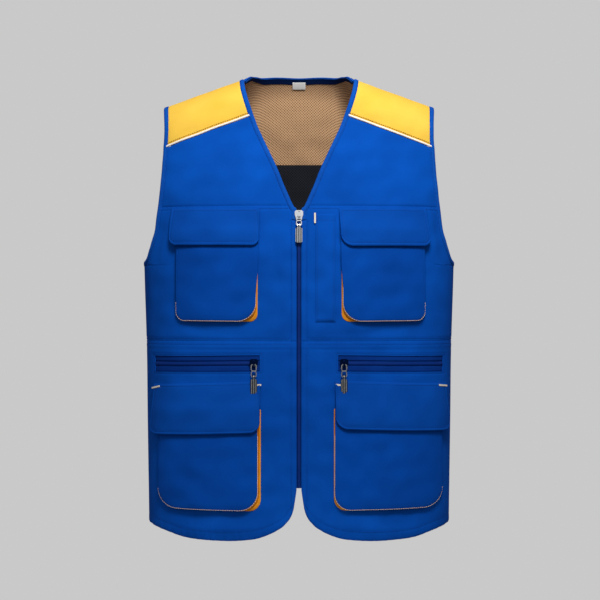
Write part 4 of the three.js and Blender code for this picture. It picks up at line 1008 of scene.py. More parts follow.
def outline(start, end, top, bottom, radii, count=150):
    """Points down one side of a pocket, round its lower corners and up the other side, evenly spaced."""
    turn = np.linspace(0, np.pi / 2, 24)
    first = np.stack([start + radii[0] * (1 - np.cos(turn)), bottom + radii[0] * (1 - np.sin(turn))], 1)
    second = np.stack([end - radii[1] * (1 - np.sin(turn)), bottom + radii[1] * (1 - np.cos(turn))], 1)
    line = np.concatenate([[[start, top]], first, second, [[end, top]]])
    far = np.concatenate([[0], np.cumsum(np.linalg.norm(np.diff(line, axis=0), axis=1))])
    at = np.linspace(0, far[-1], count)
    return np.interp(at, far, line[:, 0]), np.interp(at, far, line[:, 1])


def thicken(outer, thickness):
    """Inner grid of a sheet: its points moved back along the grid's own normals."""
    across, down = np.gradient(outer, axis=0), np.gradient(outer, axis=1)
    normal = np.cross(across, down)
    normal /= np.linalg.norm(normal, axis=-1, keepdims=True)
    return outer - normal * thickness


def pocket_gusset(row, parts):
    """Wall from the body cloth to the pocket's face, bowed out between its seams and creased midway."""
    top, bottom = pocket_top(row) - row["mouth"], pocket_top(row) - row["height"]
    foot_x, foot_z = outline(row["inner"], row["outer"], top, bottom, (row["foot_corner"], row["corner"]))
    radii = (row["inner_corner"] - GUSSET_INSET, row["corner"] - GUSSET_INSET)
    head_x, head_z = outline(
        row["inner"] + row["inner_inset"] + GUSSET_INSET, row["outer"] - row["outer_inset"] - GUSSET_INSET,
        top, bottom + row["outer_inset"] + GUSSET_INSET, radii)
    over = np.linspace(0, 1, 17)[None, :]
    sway = over + GUSSET_SWAY * np.sin(2 * np.pi * over)
    x, z = lerp(foot_x[:, None], head_x[:, None], sway), lerp(foot_z[:, None], head_z[:, None], sway)
    z = z + tilt_at(row, x, z)
    high = bulge(row, head_x, head_z + tilt_at(row, head_x, head_z))[:, None] - CLOTH - GAP - 0.9
    crease = np.exp(-((over - 0.5) / GUSSET_CREASE_WIDTH) ** 2)
    height = lerp(LAYER_GAP, high, over) + 0.7 * np.sin(np.pi * over) - GUSSET_CREASE * crease
    angle, drop = front_place(x, z)
    outer = lift(row["side"] * angle, drop, height)
    inner = thicken(outer, GUSSET_THICKNESS * 0.6)
    middle = lift(row["side"] * angle, drop, height - 1)
    if ((outer - middle) * (outer - inner)).sum() < 0:
        inner = thicken(outer, -GUSSET_THICKNESS * 0.6)
    parts.add(outer, inner, np.stack([spans(outer, 0), spans(outer, 1)], -1))


class VEST_OT_pockets(bpy.types.Operator):
    """Makes the faces, gussets and flaps of the patch pockets, and the pen pocket"""

    bl_idname = "vest.pockets"
    bl_label = "Pockets"

    def execute(self, context):
        for name, row in POCKETS.items():
            kind, word = name.split("_")
            parts = Parts()
            points = pocket_face(row, parts)
            # The pocket's face takes a darker copy of the blue twill: painted shade
            piece = parts.make(
                f"face_{name}", [f"{kind}_pocket_{word}"], (paint("pocket_twill"),))
            flat_sheet(piece, points)
            parts = Parts()
            pocket_gusset(row, parts)
            parts.make(f"gusset_{name}", [f"{kind}_gusset_{word}"], (paint("orange_twill"),))
            parts = Parts()
            points = pocket_flap(row, parts)
            # The flap takes a darker copy of the blue twill: painted shade
            piece = parts.make(
                f"flap_{name}", [f"{kind}_flap_{word}"], (paint("flap_twill_shaded"),))
            flat_sheet(piece, points)
        parts = Parts()
        top = -CHEST_SEAM - PEN_POCKET["top"]
        xs = np.linspace(PEN_POCKET["inner"], PEN_POCKET["outer"], 24)
        z = np.linspace(top, top - PEN_POCKET["height"], 80)
        angle, drop = front_place(xs[:, None] + 0 * z[None, :], z[None, :] + 0 * xs[:, None])
        base = skin(angle, drop)
        far = edge_distance(base, "abd")
        mouth = edge_distance(base, "c")
        height = LAYER_GAP + CLOTH - 0.9 * np.exp(-(far / 2) ** 2) + stitched(far - 3, 0.3, 0.8)
        height = height + stitched(mouth - 9, 0.3, 0.8)
        points = cloth(parts, angle, drop, height, CLOTH, radius=1.4)
        piece = parts.make("pen_pocket_cloth", ["pen_pocket"], (paint("blue_twill"),))
        flat_sheet(piece, points)
        return {"FINISHED"}


# Repeated small pieces

def block_template(length, width, height, taper=0.55):
    """A bar of four rings with its two ends narrowed, centred on the origin, long on the first axis."""
    rings = []
    for share, scale in ((-0.5, taper), (-0.28, 1), (0.28, 1), (0.5, taper)):
        for y, z in ((-1, -1), (1, -1), (1, 1), (-1, 1)):
            rings.append((share * length, y * width / 2 * scale, z * height / 2 * scale))
    faces = [(3, 2, 1, 0), (12, 13, 14, 15)]
    for ring in range(3):
        for k in range(4):
            a, b = ring * 4 + k, ring * 4 + (k + 1) % 4
            faces.append((a, b, b + 4, a + 4))
    return facing_out(np.array(rings, float), np.array(faces))


def scatter(parts, template, centres, along, out):
    """Copies a template to each centre, with its length along one direction and its height along another."""
    points, faces = template
    side = np.cross(out, along)
    placed = (
        centres[:, None] + points[None, :, 0:1] * along[:, None] + points[None, :, 1:2] * side[:, None]
        + points[None, :, 2:3] * out[:, None])
    shifts = np.arange(len(centres)) * len(points)
    uvs = np.tile(points[:, :2], (len(centres), 1))
    parts.put(placed.reshape(-1, 3), (faces[None] + shifts[:, None, None]).reshape(-1, 4), uvs)


def stations(angle, drop, height, pitch):
    """Centres, directions and normals, a pitch apart, along a line of places."""
    points = lift(angle, drop, height)
    normals = skin_normal(angle, drop)
    far = spans(points[:, None], 0)[:, 0]
    count = max(2, int(far[-1] / pitch))
    at = (np.arange(count) + 0.5) * far[-1] / count

    def read(values):
        return np.stack([np.interp(at, far, values[:, k]) for k in range(3)], 1)

    tangents = np.gradient(points, far, axis=0)
    along, out = read(tangents), read(normals)
    along /= np.linalg.norm(along, axis=1, keepdims=True)
    out -= along * (out * along).sum(1, keepdims=True)
    out /= np.linalg.norm(out, axis=1, keepdims=True)
    return read(points), along, out


def front_run(side, x, z, height, count=160):
    """A straight run of the front between the ends of x and z, as places with a height."""
    t = np.linspace(0, 1, count)
    angle, drop = front_place(lerp(x[0], x[1], t), lerp(z[0], z[1], t))
    return side * angle, drop, np.full(count, float(height))


def arm_x(z):
    """Distance from the front centre line to the armhole's seam at a height."""
    front = ARM_SEAM.drop >= 0
    points = skin(ARM_SEAM.angle[front], ARM_SEAM.drop[front])
    order = np.argsort(points[:, 2])
    return float(np.interp(z, points[order, 2], points[order, 0]))


def front_stitches(side):
    """All rows of topstitching on one front."""
    lines = []
    chest, waist = -CHEST_SEAM - 4, -WAIST_SEAM + 4
    lines.append(front_run(side, (PLACKET + 4, arm_x(chest) - 1), (chest, chest), -0.25))
    wide = half_width(-WAIST_SEAM) * 0.995
    lines.append(front_run(side, (PLACKET + 2, wide), (waist, waist), -0.25))
    lines.append(front_run(side, (PLACKET + 2, wide), (waist - 8.5,) * 2, -0.25))
    lines.append(front_run(side, (PLACKET, PLACKET), (-WAIST_SEAM - 3, -LENGTH * 0.915), -0.25))
    lines.append(front_run(side, (PLACKET - 1.8,) * 2, (PLACKET_END - 3, -WAIST_SEAM + 2), -0.1))
    inner, outer = WAIST_ZIP_INNER - 2.5, WAIST_ZIP_OUTER + 2.5
    top = [float(slot_top(x)) + 2.5 for x in (inner, outer)]
    low = [z - WAIST_ZIP_HEIGHT - 5 for z in top]
    lines.append(front_run(side, (inner, outer), top, -0.25))
    lines.append(front_run(side, (inner, outer), low, -0.25))
    lines.append(front_run(side, (inner, inner), (top[0], low[0]), -0.25, 20))
    lines.append(front_run(side, (outer, outer), (top[1], low[1]), -0.25, 20))
    angle = np.linspace(2.2, 88, 300)
    lines.append((side * angle, drop_to(angle, hem_height(angle) + 13), np.full(300, -0.2)))
    return lines


def gusset_seam(row):
    """The row of stitches that joins a pocket's face to its gusset, round the foot of the face.

    Their pale colour is painted highlight along the face's lower rim, and the row stops where that highlight
    ends.
    """
    top, bottom = pocket_top(row) - row["height"] * SEAM_INNER_END, pocket_top(row) - row["height"]
    x, z = outline(
        row["inner"] + row["inner_inset"] - 0.4, row["outer"] - row["outer_inset"] + 0.4,
        top, bottom + row["outer_inset"] - 0.4, (row["inner_corner"], row["corner"]), 300)
    kept = (x < lerp(row["inner"], row["outer"], 0.5)) | (z < bottom + SEAM_OUTER_END * row["height"])
    x, z = x[kept], z[kept]
    z = z + tilt_at(row, x, z)
    angle, drop = front_place(x, z)
    return row["side"] * angle, drop, bulge(row, x, z) - CLOTH + 0.5


def flap_stitches(row):
    start, end, top, bottom, radii = flap_shape(row)
    inset = FLAP_INSET
    corners = [max(radius - inset, 3) for radius in radii]
    x, z = outline(start + inset, end - inset, top - FLAP_STITCH, bottom + inset, corners, 260)
    x = x + row["flare"] * (top - z) / (top - bottom)
    z = z + tilt_at(row, x, z)
    angle, drop = front_place(x, z)
    straight_x = lerp(start + inset, end - inset, np.linspace(0, 1, 160))
    straight_z = top - FLAP_STITCH + tilt_at(row, straight_x, top)
    angle_top, drop_top = front_place(straight_x, straight_z)
    return [
        (row["side"] * angle, drop, flap_height(row, x, z) - 0.1),
        (row["side"] * angle_top, drop_top, flap_height(row, straight_x, straight_z) - 0.15),
    ]


BAR_TACKS = (
    dict(side=1, x=22.9, z=-210, lean=90, length=14.5, proud=2.4),
    dict(side=-1, x=59, z=-448.4, lean=-2, length=11, proud=3.2),
    dict(side=-1, x=207.3, z=-454, lean=-16, length=12, proud=3.2),
    dict(side=1, x=57.7, z=-448.4, lean=-8, length=11, proud=3.2),
    dict(side=1, x=208.6, z=-451.6, lean=-8, length=12, proud=3.2),
)


def bartack(parts, side, x, z, lean, length, proud, width=2.4, height=0.9):
    """Dense bar of thread: cross bars side by side along a short line on the front."""
    turn = math.radians(lean)
    ends = np.array([-0.5, 0.5]) * length
    angle, drop, _ = front_run(
        side, x + ends * math.cos(turn), z + ends * math.sin(turn), 0, 40)
    centres, along, out = stations(angle, drop, np.full(40, float(proud)), 0.75)
    across = np.cross(out, along)
    scatter(parts, block_template(width, 0.8, height, 0.8), centres, across, out)


class VEST_OT_stitching(bpy.types.Operator):
    """Makes the rows of topstitching and the bar tacks"""

    bl_idname = "vest.stitching"
    bl_label = "Stitching"

    def execute(self, context):
        look = context.scene.vest_looks
        pitch, thick = look.stitch_length / MM, look.thread_thickness / MM
        template = block_template(pitch * 0.78, thick, thick)
        for word, side in SIDES.items():
            lines = front_stitches(side)
            for row in POCKETS.values():
                if row["side"] == side:
                    lines += flap_stitches(row)
            if side > 0:
                lines += pen_stitches()
            for curve, share in ((NECK_EDGE, -BINDING_WIDTH * 0.82), (ARM_EDGE, ARM_BINDING_WIDTH * 0.82)):
                line = curve.aside(share)
                lines.append((side * line.angle, line.drop, np.full(len(line.angle), BINDING_PROUD - 0.25)))
            parts = Parts()
            for line in lines:
                scatter(parts, template, *stations(*line, pitch))
            parts.make(f"stitching_{word}", (), (paint("blue_thread"),))
            parts = Parts()
            drop = YOKE_FRONT_LENGTH - 2.4
            top = float(arm_angle(front_line(0), lambda a: np.full_like(a, drop), np.array([1.0]))[0])
            ends = seam_angle(NECK_SEAM, front_line(0), lambda a: np.full_like(a, drop), np.array([1.0]))
            start = float(ends[0])
            angle = np.linspace(start, top, 200)
            scatter(parts, template, *stations(side * angle, np.full(200, drop), np.full(200, 0.1), pitch))
            parts.make(f"stitching_yoke_{word}", (), (paint("brown_thread"),))
            parts = Parts()
            for row in POCKETS.values():
                if row["side"] == side:
                    scatter(parts, template, *stations(*gusset_seam(row), pitch))
            # Pale stitches round the pocket faces: their colour is painted highlight along the lower rims
            parts.make(f"stitching_gusset_highlight_{word}", (), (paint("pale_thread_highlight"),))
        parts = Parts()
        angle = np.linspace(-78, 78, 500)
        seam = back_line(-BACK_YOKE_SEAM - 5)
        edge = float(arm_angle(lambda a: np.full_like(a, GAP), seam, np.array([1.0]))[0])
        across = np.linspace(-edge, edge, 500)
        scatter(parts, template, *stations(across, -seam(across), np.full(500, -0.1), pitch))
        rise = BACK_HEM_RISE * np.cos(np.radians(angle)) ** 2
        hem = -LENGTH * hem_drop(1) + rise + 14
        scatter(parts, template, *stations(angle, -drop_to(180 - angle, hem), np.full(500, -0.25), pitch))
        parts.make("stitching_back", (), (paint("blue_thread"),))
        parts = Parts()
        for row in BAR_TACKS:
            bartack(parts, **row)
        parts.make("bar_tacks", (), (paint("cream_thread"),))
        return {"FINISHED"}


def pen_stitches():
    top = -CHEST_SEAM - PEN_POCKET["top"]
    bottom = top - PEN_POCKET["height"] + 3
    inner, outer = PEN_POCKET["inner"] + 3, PEN_POCKET["outer"] - 3
    high = LAYER_GAP + CLOTH - 0.1
    return [
        front_run(1, (inner, inner), (top - 1, bottom), high),
        front_run(1, (outer, outer), (top - 1, bottom), high),
        front_run(1, (inner, outer), (bottom, bottom), high, 30),
        front_run(1, (inner - 2, outer + 2), (top - 9, top - 9), high, 30),
    ]


# Zips

def zip_grid(side, xs, zs):
    angle, drop = front_place(xs, zs)
    return side * angle, drop


def teeth(parts, line_of, pitch):
    """Coil's teeth, as bars across the zip that come in turn from its left and its right half."""
    angle, drop, height = line_of
    centres, along, out = stations(angle, drop, height, pitch)
    across = np.cross(out, along)
    sign = np.where(np.arange(len(centres)) % 2 == 0, 1, -1)[:, None]
    centres = centres + across * sign * COIL_WIDTH * 0.13
    scatter(parts, block_template(COIL_WIDTH * 0.74, pitch * 0.86, 1.5, 0.7), centres, across, out)


class VEST_OT_zips(bpy.types.Operator):
    """Makes the woven tapes and the coils of the three zips"""

    bl_idname = "vest.zips"
    bl_label = "Zips"

    def execute(self, context):
        tape, coil = paint("zip_tape"), paint("zip_coil")
        face = BINDING_PROUD - BINDING_THICKNESS - GAP
        top, end = -V_DEPTH - 2, -V_DEPTH - ZIP_LENGTH
        parts = Parts()
        xs = np.linspace(-TAPE_WIDTH / 2, TAPE_WIDTH / 2, 29)
        z = np.linspace(top, end, 200)
        angle, drop = zip_grid(1, xs[:, None] + 0 * z[None, :], z[None, :] + 0 * xs[:, None])
        cloth(parts, angle, drop, face, TAPE_THICKNESS, radius=0.6)
        parts.make("zip_tape_front", ["front_zip_tape"], (tape,))
        parts = Parts()
        start = -V_DEPTH - 2 - SLIDER_HEIGHT - GAP
        teeth(parts, front_run(1, (0, 0), (start, end), face + GAP + 0.8, 300), 1.5)
        parts.make("zip_coil_front", ["front_zip_coil"], (coil,))
        for word, side in SIDES.items():
            parts = Parts()
            xs = np.linspace(WAIST_ZIP_INNER - TAPE_LAP, WAIST_ZIP_OUTER + TAPE_LAP, 90)
            over = np.linspace(TAPE_LAP, -WAIST_ZIP_HEIGHT - TAPE_LAP, 30)
            x = xs[:, None] + 0 * over[None, :]
            angle, drop = zip_grid(side, x, slot_top(xs)[:, None] + over[None, :])
            fold = 1.2 * np.clip(np.abs(over + WAIST_ZIP_HEIGHT / 2) - COIL_WIDTH / 2 - 1, 0, 1)
            fold = fold * (np.abs(over + WAIST_ZIP_HEIGHT / 2) < WAIST_ZIP_HEIGHT / 2 - 0.8)
            height = -CLOTH - LAYER_GAP + fold[None, :] + 0 * x
            cloth(parts, angle, drop, height, TAPE_THICKNESS, radius=0.6)
            parts.make(f"zip_tape_{word}", [f"waist_zip_tape_{word}"], (tape,))
            parts = Parts()
            ends = WAIST_ZIP_INNER + WAIST_SLIDER + SLIDER_WIDTH / 2 + GAP, WAIST_ZIP_OUTER - GAP
            zs = [float(slot_top(x)) - WAIST_ZIP_HEIGHT / 2 for x in ends]
            teeth(parts, front_run(side, ends, zs, -CLOTH - LAYER_GAP + GAP + 0.8), 1.5)
            parts.make(f"zip_coil_{word}", [f"waist_zip_coil_{word}"], (coil,))
        return {"FINISHED"}


class VEST_OT_label(bpy.types.Operator):
    """Makes the bare woven label that hangs inside the neck"""

    bl_idname = "vest.label"
    bl_label = "Label"

    def execute(self, context):
        parts = Parts()
        half = math.degrees(math.asin(LABEL["width"] / 2 / CHEST_HALF_WIDTH))
        top = -NECK_SEAM.drop[-1]
        angle = np.linspace(-half, half, 25)[:, None]
        over = np.linspace(0, 1, 17)[None, :]
        drop = -(top + LABEL["height"] * over) + 0 * angle
        face = -CLOTH - MESH_CLOTH - 2 * LAYER_GAP - 0.5 * np.sin(np.pi * over) + 0 * angle
        cloth(parts, angle + 0 * over, drop, face, LABEL["thickness"], radius=0.5)
        parts.make("label", ["size_label"], (paint("label_cloth"),))
        return {"FINISHED"}


class VEST_OT_metal(bpy.types.Operator):
    """Gives the sliders, links and tabs of the CAD their plated finish"""

    bl_idname = "vest.metal"
    bl_label = "Metal"

    def execute(self, context):
        finishes = {
            "link": "zip_metal", "tab": "tab_metal", "front_slider": "zip_metal", "slider": "slider_metal"}
        for name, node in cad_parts.items():
            finish = next((finish for word, finish in finishes.items() if word in name), None)
            for place in node.material_slots if finish else ():
                place.material = paint(finish)
        return {"FINISHED"}


# Materials

def to_linear(code):
    """Linear colour of an sRGB hex value."""
    values = [int(code[k:k + 2], 16) / 255 for k in (1, 3, 5)]
    return [v / 12.92 if v <= 0.04045 else ((v + 0.055) / 1.055) ** 2.4 for v in values]


def add_node(tree, kind, links=None, **settings):
    """Adds a node. Settings name its properties or its inputs; links map its inputs to other sockets."""
    node = tree.nodes.new(kind)
    for key, value in settings.items():
        if hasattr(node, key):
            setattr(node, key, value)
        else:
            node.inputs[key.replace("_", " ")].default_value = value
    for key, socket in (links or {}).items():
        tree.links.new(socket, node.inputs[key])
    return node


def colour(code):
    return (*to_linear(code), 1)


def new_material(name):
    material = bpy.data.materials.new(name)
    material.use_nodes = True
    tree = material.node_tree
    tree.nodes.clear()
    return material, tree


def finish_material(tree, links, **settings):
    shader = add_node(tree, "ShaderNodeBsdfPrincipled", links, **settings)
    add_node(tree, "ShaderNodeOutputMaterial", {"Surface": shader.outputs[0]})


def woven(name, deep, light, roughness=0.9, sheen=0.02, thread=1.1, relief=0.12, turn=45):
    """Cotton and polyester twill, woven and dyed: matt, with fine diagonal ribs and cloudy changes of tone.

    The real ribs lie 0.5 mm apart, too fine for the picture, so they are drawn 1.1 mm apart."""
    material, tree = new_material(name)
    uv = add_node(tree, "ShaderNodeUVMap", uv_map="cloth")
    turned = add_node(
        tree, "ShaderNodeMapping", {"Vector": uv.outputs[0]}, Rotation=(0, 0, math.radians(turn)))
    # A wave node's bands repeat every 2 pi / 20 units at scale 1
    ribs = add_node(
        tree, "ShaderNodeTexWave", {"Vector": turned.outputs[0]}, Scale=2 * math.pi / 20 / (thread * MM),
        Distortion=1.5, Detail=1.0)
    place = add_node(tree, "ShaderNodeTexCoord")
    cloudy = add_node(tree, "ShaderNodeTexNoise", {"Vector": place.outputs["Object"]}, Scale=14, Detail=3)
    fuzz = add_node(tree, "ShaderNodeTexNoise", {"Vector": place.outputs["Object"]}, Scale=700, Detail=1)
    cloud = add_node(
        tree, "ShaderNodeMapRange", {"Value": cloudy.outputs[0]}, From_Min=0.3, From_Max=0.7, To_Min=0.1,
        To_Max=0.9)
    weave = add_node(
        tree, "ShaderNodeMath", {0: ribs.outputs["Fac"], 1: fuzz.outputs[0]}, operation="ADD")
    tone = add_node(tree, "ShaderNodeMath", {0: weave.outputs[0]}, operation="MULTIPLY")
    tone.inputs[1].default_value = 0.16
    both = add_node(tree, "ShaderNodeMath", {0: tone.outputs[0], 1: cloud.outputs[0]}, operation="ADD")
    both.use_clamp = True
    shift = add_node(tree, "ShaderNodeMath", {0: both.outputs[0]}, operation="SUBTRACT")
    shift.inputs[1].default_value = 0.16
    mix = add_node(tree, "ShaderNodeMix", {"Factor": shift.outputs[0]}, data_type="RGBA")
    mix.inputs[6].default_value = colour(deep)
    mix.inputs[7].default_value = colour(light)
    bump = add_node(
        tree, "ShaderNodeBump", {"Height": weave.outputs[0]}, Strength=0.5, Distance=relief * MM)
    finish_material(
        tree, {"Base Color": mix.outputs[2], "Normal": bump.outputs[0]}, Roughness=roughness,
        Sheen_Weight=sheen, Sheen_Roughness=0.6, Sheen_Tint=colour(light), Specular_IOR_Level=0.06)
    return material


def knitted_mesh(name, yarn, hole_shade, pitch=4.2):
    """Polyester warp-knit mesh: matt yarn round rows of small holes, which are not cut but painted dark:
    painted shade for the shaded cloth that would show through them.

    Holes are cells of a regular grid turned by 45 degrees, painted dark inside a radius from each cell's
    centre."""
    material, tree = new_material(name)
    uv = add_node(tree, "ShaderNodeUVMap", uv_map="cloth")
    turned = add_node(
        tree, "ShaderNodeMapping", {"Vector": uv.outputs[0]}, Rotation=(0, 0, math.radians(45)),
        Scale=(1, 1, 1))
    cells = add_node(
        tree, "ShaderNodeTexVoronoi", {"Vector": turned.outputs[0]}, Scale=math.sqrt(2) / (pitch * MM),
        Randomness=0.0)
    edge = add_node(
        tree, "ShaderNodeMapRange", {"Value": cells.outputs["Distance"]}, From_Min=0.26, From_Max=0.4)
    place = add_node(tree, "ShaderNodeTexCoord")
    cloudy = add_node(tree, "ShaderNodeTexNoise", {"Vector": place.outputs["Object"]}, Scale=16, Detail=2)
    shade = add_node(tree, "ShaderNodeMix", {"Factor": cloudy.outputs[0]}, data_type="RGBA")
    shade.inputs[6].default_value = colour(yarn)
    shade.inputs[7].default_value = tuple(c * 0.86 for c in to_linear(yarn)) + (1,)
    mix = add_node(
        tree, "ShaderNodeMix", {"Factor": edge.outputs[0], "B": shade.outputs[2]}, data_type="RGBA")
    # Colour inside the holes: painted shade of the cloth seen through them
    mix.inputs[6].default_value = colour(hole_shade)
    tree.links.new(shade.outputs[2], mix.inputs[7])
    bump = add_node(tree, "ShaderNodeBump", {"Height": edge.outputs[0]}, Strength=0.6, Distance=0.4 * MM)
    finish_material(
        tree, {"Base Color": mix.outputs[2], "Normal": bump.outputs[0]}, Roughness=0.9,
        Sheen_Weight=0.1, Specular_IOR_Level=0.2)
    return material


def plated_zinc(name, deep, light, ribs=0.0):
    """Zinc die casting, tumbled: plated and bright, or dark navy, with faint rub marks on its faces.

    Ribs is the distance between the fine ribs cast down a tab, with painted shade in their grooves."""
    material, tree = new_material(name)
    place = add_node(tree, "ShaderNodeTexCoord")
    rubbed = add_node(tree, "ShaderNodeTexNoise", {"Vector": place.outputs["Object"]}, Scale=900, Detail=3)
    rough = add_node(tree, "ShaderNodeMapRange", {"Value": rubbed.outputs[0]}, To_Min=0.16, To_Max=0.34)
    tone = add_node(tree, "ShaderNodeMix", {"Factor": rubbed.outputs[0]}, data_type="RGBA")
    tone.inputs[6].default_value = colour(deep)
    tone.inputs[7].default_value = colour(light)
    bump = add_node(tree, "ShaderNodeBump", {"Height": rubbed.outputs[0]}, Strength=0.2, Distance=0.05 * MM)
    base = tone.outputs[2]
    if ribs:
        grooves = add_node(
            tree, "ShaderNodeTexWave", {"Vector": place.outputs["Object"]},
            Scale=2 * math.pi / 20 / (ribs * MM), bands_direction="X")
        groove_shade_mask = add_node(
            tree, "ShaderNodeMapRange", {"Value": grooves.outputs["Fac"]}, From_Min=0.15, From_Max=0.6)
        groove_shade = add_node(tree, "ShaderNodeMix", {"Factor": groove_shade_mask.outputs[0]}, data_type="RGBA")
        # Painted shade in the grooves between the tab's ribs
        groove_shade.inputs[6].default_value = colour("#26282C")
        tree.links.new(base, groove_shade.inputs[7])
        base = groove_shade.outputs[2]
        bump = add_node(
            tree, "ShaderNodeBump", {"Height": grooves.outputs["Fac"], "Normal": bump.outputs[0]},
            Strength=0.7, Distance=0.3 * MM)
    finish_material(
        tree, {"Base Color": base, "Roughness": rough.outputs[0], "Normal": bump.outputs[0]}, Metallic=1.0)
    return material


def spun_thread(name, code, roughness=0.7):
    """Spun polyester sewing thread: matt, with a slight change of tone along its ply."""
    material, tree = new_material(name)
    place = add_node(tree, "ShaderNodeTexCoord")
    ply = add_node(tree, "ShaderNodeTexNoise", {"Vector": place.outputs["Object"]}, Scale=800, Detail=1)
    mix = add_node(tree, "ShaderNodeMix", {"Factor": ply.outputs[0]}, data_type="RGBA")
    mix.inputs[6].default_value = colour(code)
    mix.inputs[7].default_value = tuple(c * 0.75 for c in to_linear(code)) + (1,)
    finish_material(tree, {"Base Color": mix.outputs[2]}, Roughness=roughness, Specular_IOR_Level=0.08)
    return material


def moulded_coil(name, code):
    """Nylon zip coil, drawn and dyed: smooth, with a soft gloss."""
    material, tree = new_material(name)
    place = add_node(tree, "ShaderNodeTexCoord")
    drawn = add_node(tree, "ShaderNodeTexNoise", {"Vector": place.outputs["Object"]}, Scale=400, Detail=1)
    mix = add_node(tree, "ShaderNodeMix", {"Factor": drawn.outputs[0]}, data_type="RGBA")
    mix.inputs[6].default_value = colour(code)
    mix.inputs[7].default_value = tuple(c * 0.8 for c in to_linear(code)) + (1,)
    finish_material(tree, {"Base Color": mix.outputs[2]}, Roughness=0.5, Specular_IOR_Level=0.15)
    return material


MATERIALS = {
    "blue_twill": lambda: woven("twill_blue", "#0347A4", "#0454BC"),
    # Pocket faces: a darker copy of the blue twill, painted shade for the shade that falls on the pockets
    "pocket_twill": lambda: woven("twill_blue_pocket_painted_shade", "#02429C", "#034DB1"),
    # Flaps: a darker copy of the blue twill, painted shade for the shade that falls on the flaps
    "flap_twill_shaded": lambda: woven("twill_blue_flap_painted_shade", "#034198", "#044CAB"),
    "yellow_twill": lambda: woven("twill_yellow", "#EDBB40", "#F6CB54"),
    "orange_twill": lambda: woven("twill_orange", "#E58B22", "#F5A52C"),
    "binding": lambda: woven("binding_tape_blue", "#0A4AA6", "#0C55B6", thread=0.9, turn=0),
    # Inner faces of the bindings: a dark copy of the binding tape, painted shade for the shaded inside of the
    # neck
    "binding_inside_shaded": lambda: woven("binding_tape_painted_shade", "#061C48", "#082458", thread=0.9, turn=0),
    "piping": lambda: woven("piping_tape_white", "#F6E9DC", "#FFF8F0", thread=0.8, turn=0),
    # The meshes' holes are painted shade: dark for the shaded cloth behind them
    "upper_mesh": lambda: knitted_mesh("knit_mesh_peach", "#D6AC82", "#8A6344"),
    "lower_mesh": lambda: knitted_mesh("knit_mesh_black", "#1F222B", "#050506"),
    "zip_tape": lambda: woven("zip_tape_navy", "#052F7C", "#07398C", thread=0.8, turn=0),
    "zip_coil": lambda: moulded_coil("zip_coil_nylon", "#083488"),
    "zip_metal": lambda: plated_zinc("zinc_nickel_plated", "#C9CCD2", "#E6E8EC"),
    # The tab's ribs carry painted shade in their grooves
    "tab_metal": lambda: plated_zinc("zinc_nickel_plated_ribbed", "#C4C6CB", "#DCDDE1", ribs=3.0),
    # The waist sliders are given a dark navy metal, darker than the front slider
    "slider_metal": lambda: plated_zinc("zinc_dark_navy", "#0B1E4A", "#10285C"),
    "label_cloth": lambda: woven("label_satin_white", "#ECEBE8", "#F8F8F6", 0.6, 0.1, 0.7, 0.05, 0),
    "blue_thread": lambda: spun_thread("thread_blue", "#0B4FAE"),
    "brown_thread": lambda: spun_thread("thread_brown", "#8A4B1E"),
    "cream_thread": lambda: spun_thread("thread_cream", "#FBEFD8"),
    # Pale thread of the gusset seams: painted highlight along the pockets' lower rims
    "pale_thread_highlight": lambda: spun_thread("thread_pale_painted_highlight", "#FFE3D6"),
}


def paint(name):
    """The material of a finish, made on first use."""
    made = bpy.context.scene.get("vest_paint_" + name)
    if made and made in bpy.data.materials:
        return bpy.data.materials[made]
    material = MATERIALS[name]()
    bpy.context.scene["vest_paint_" + name] = material.name
    return material


# Stage

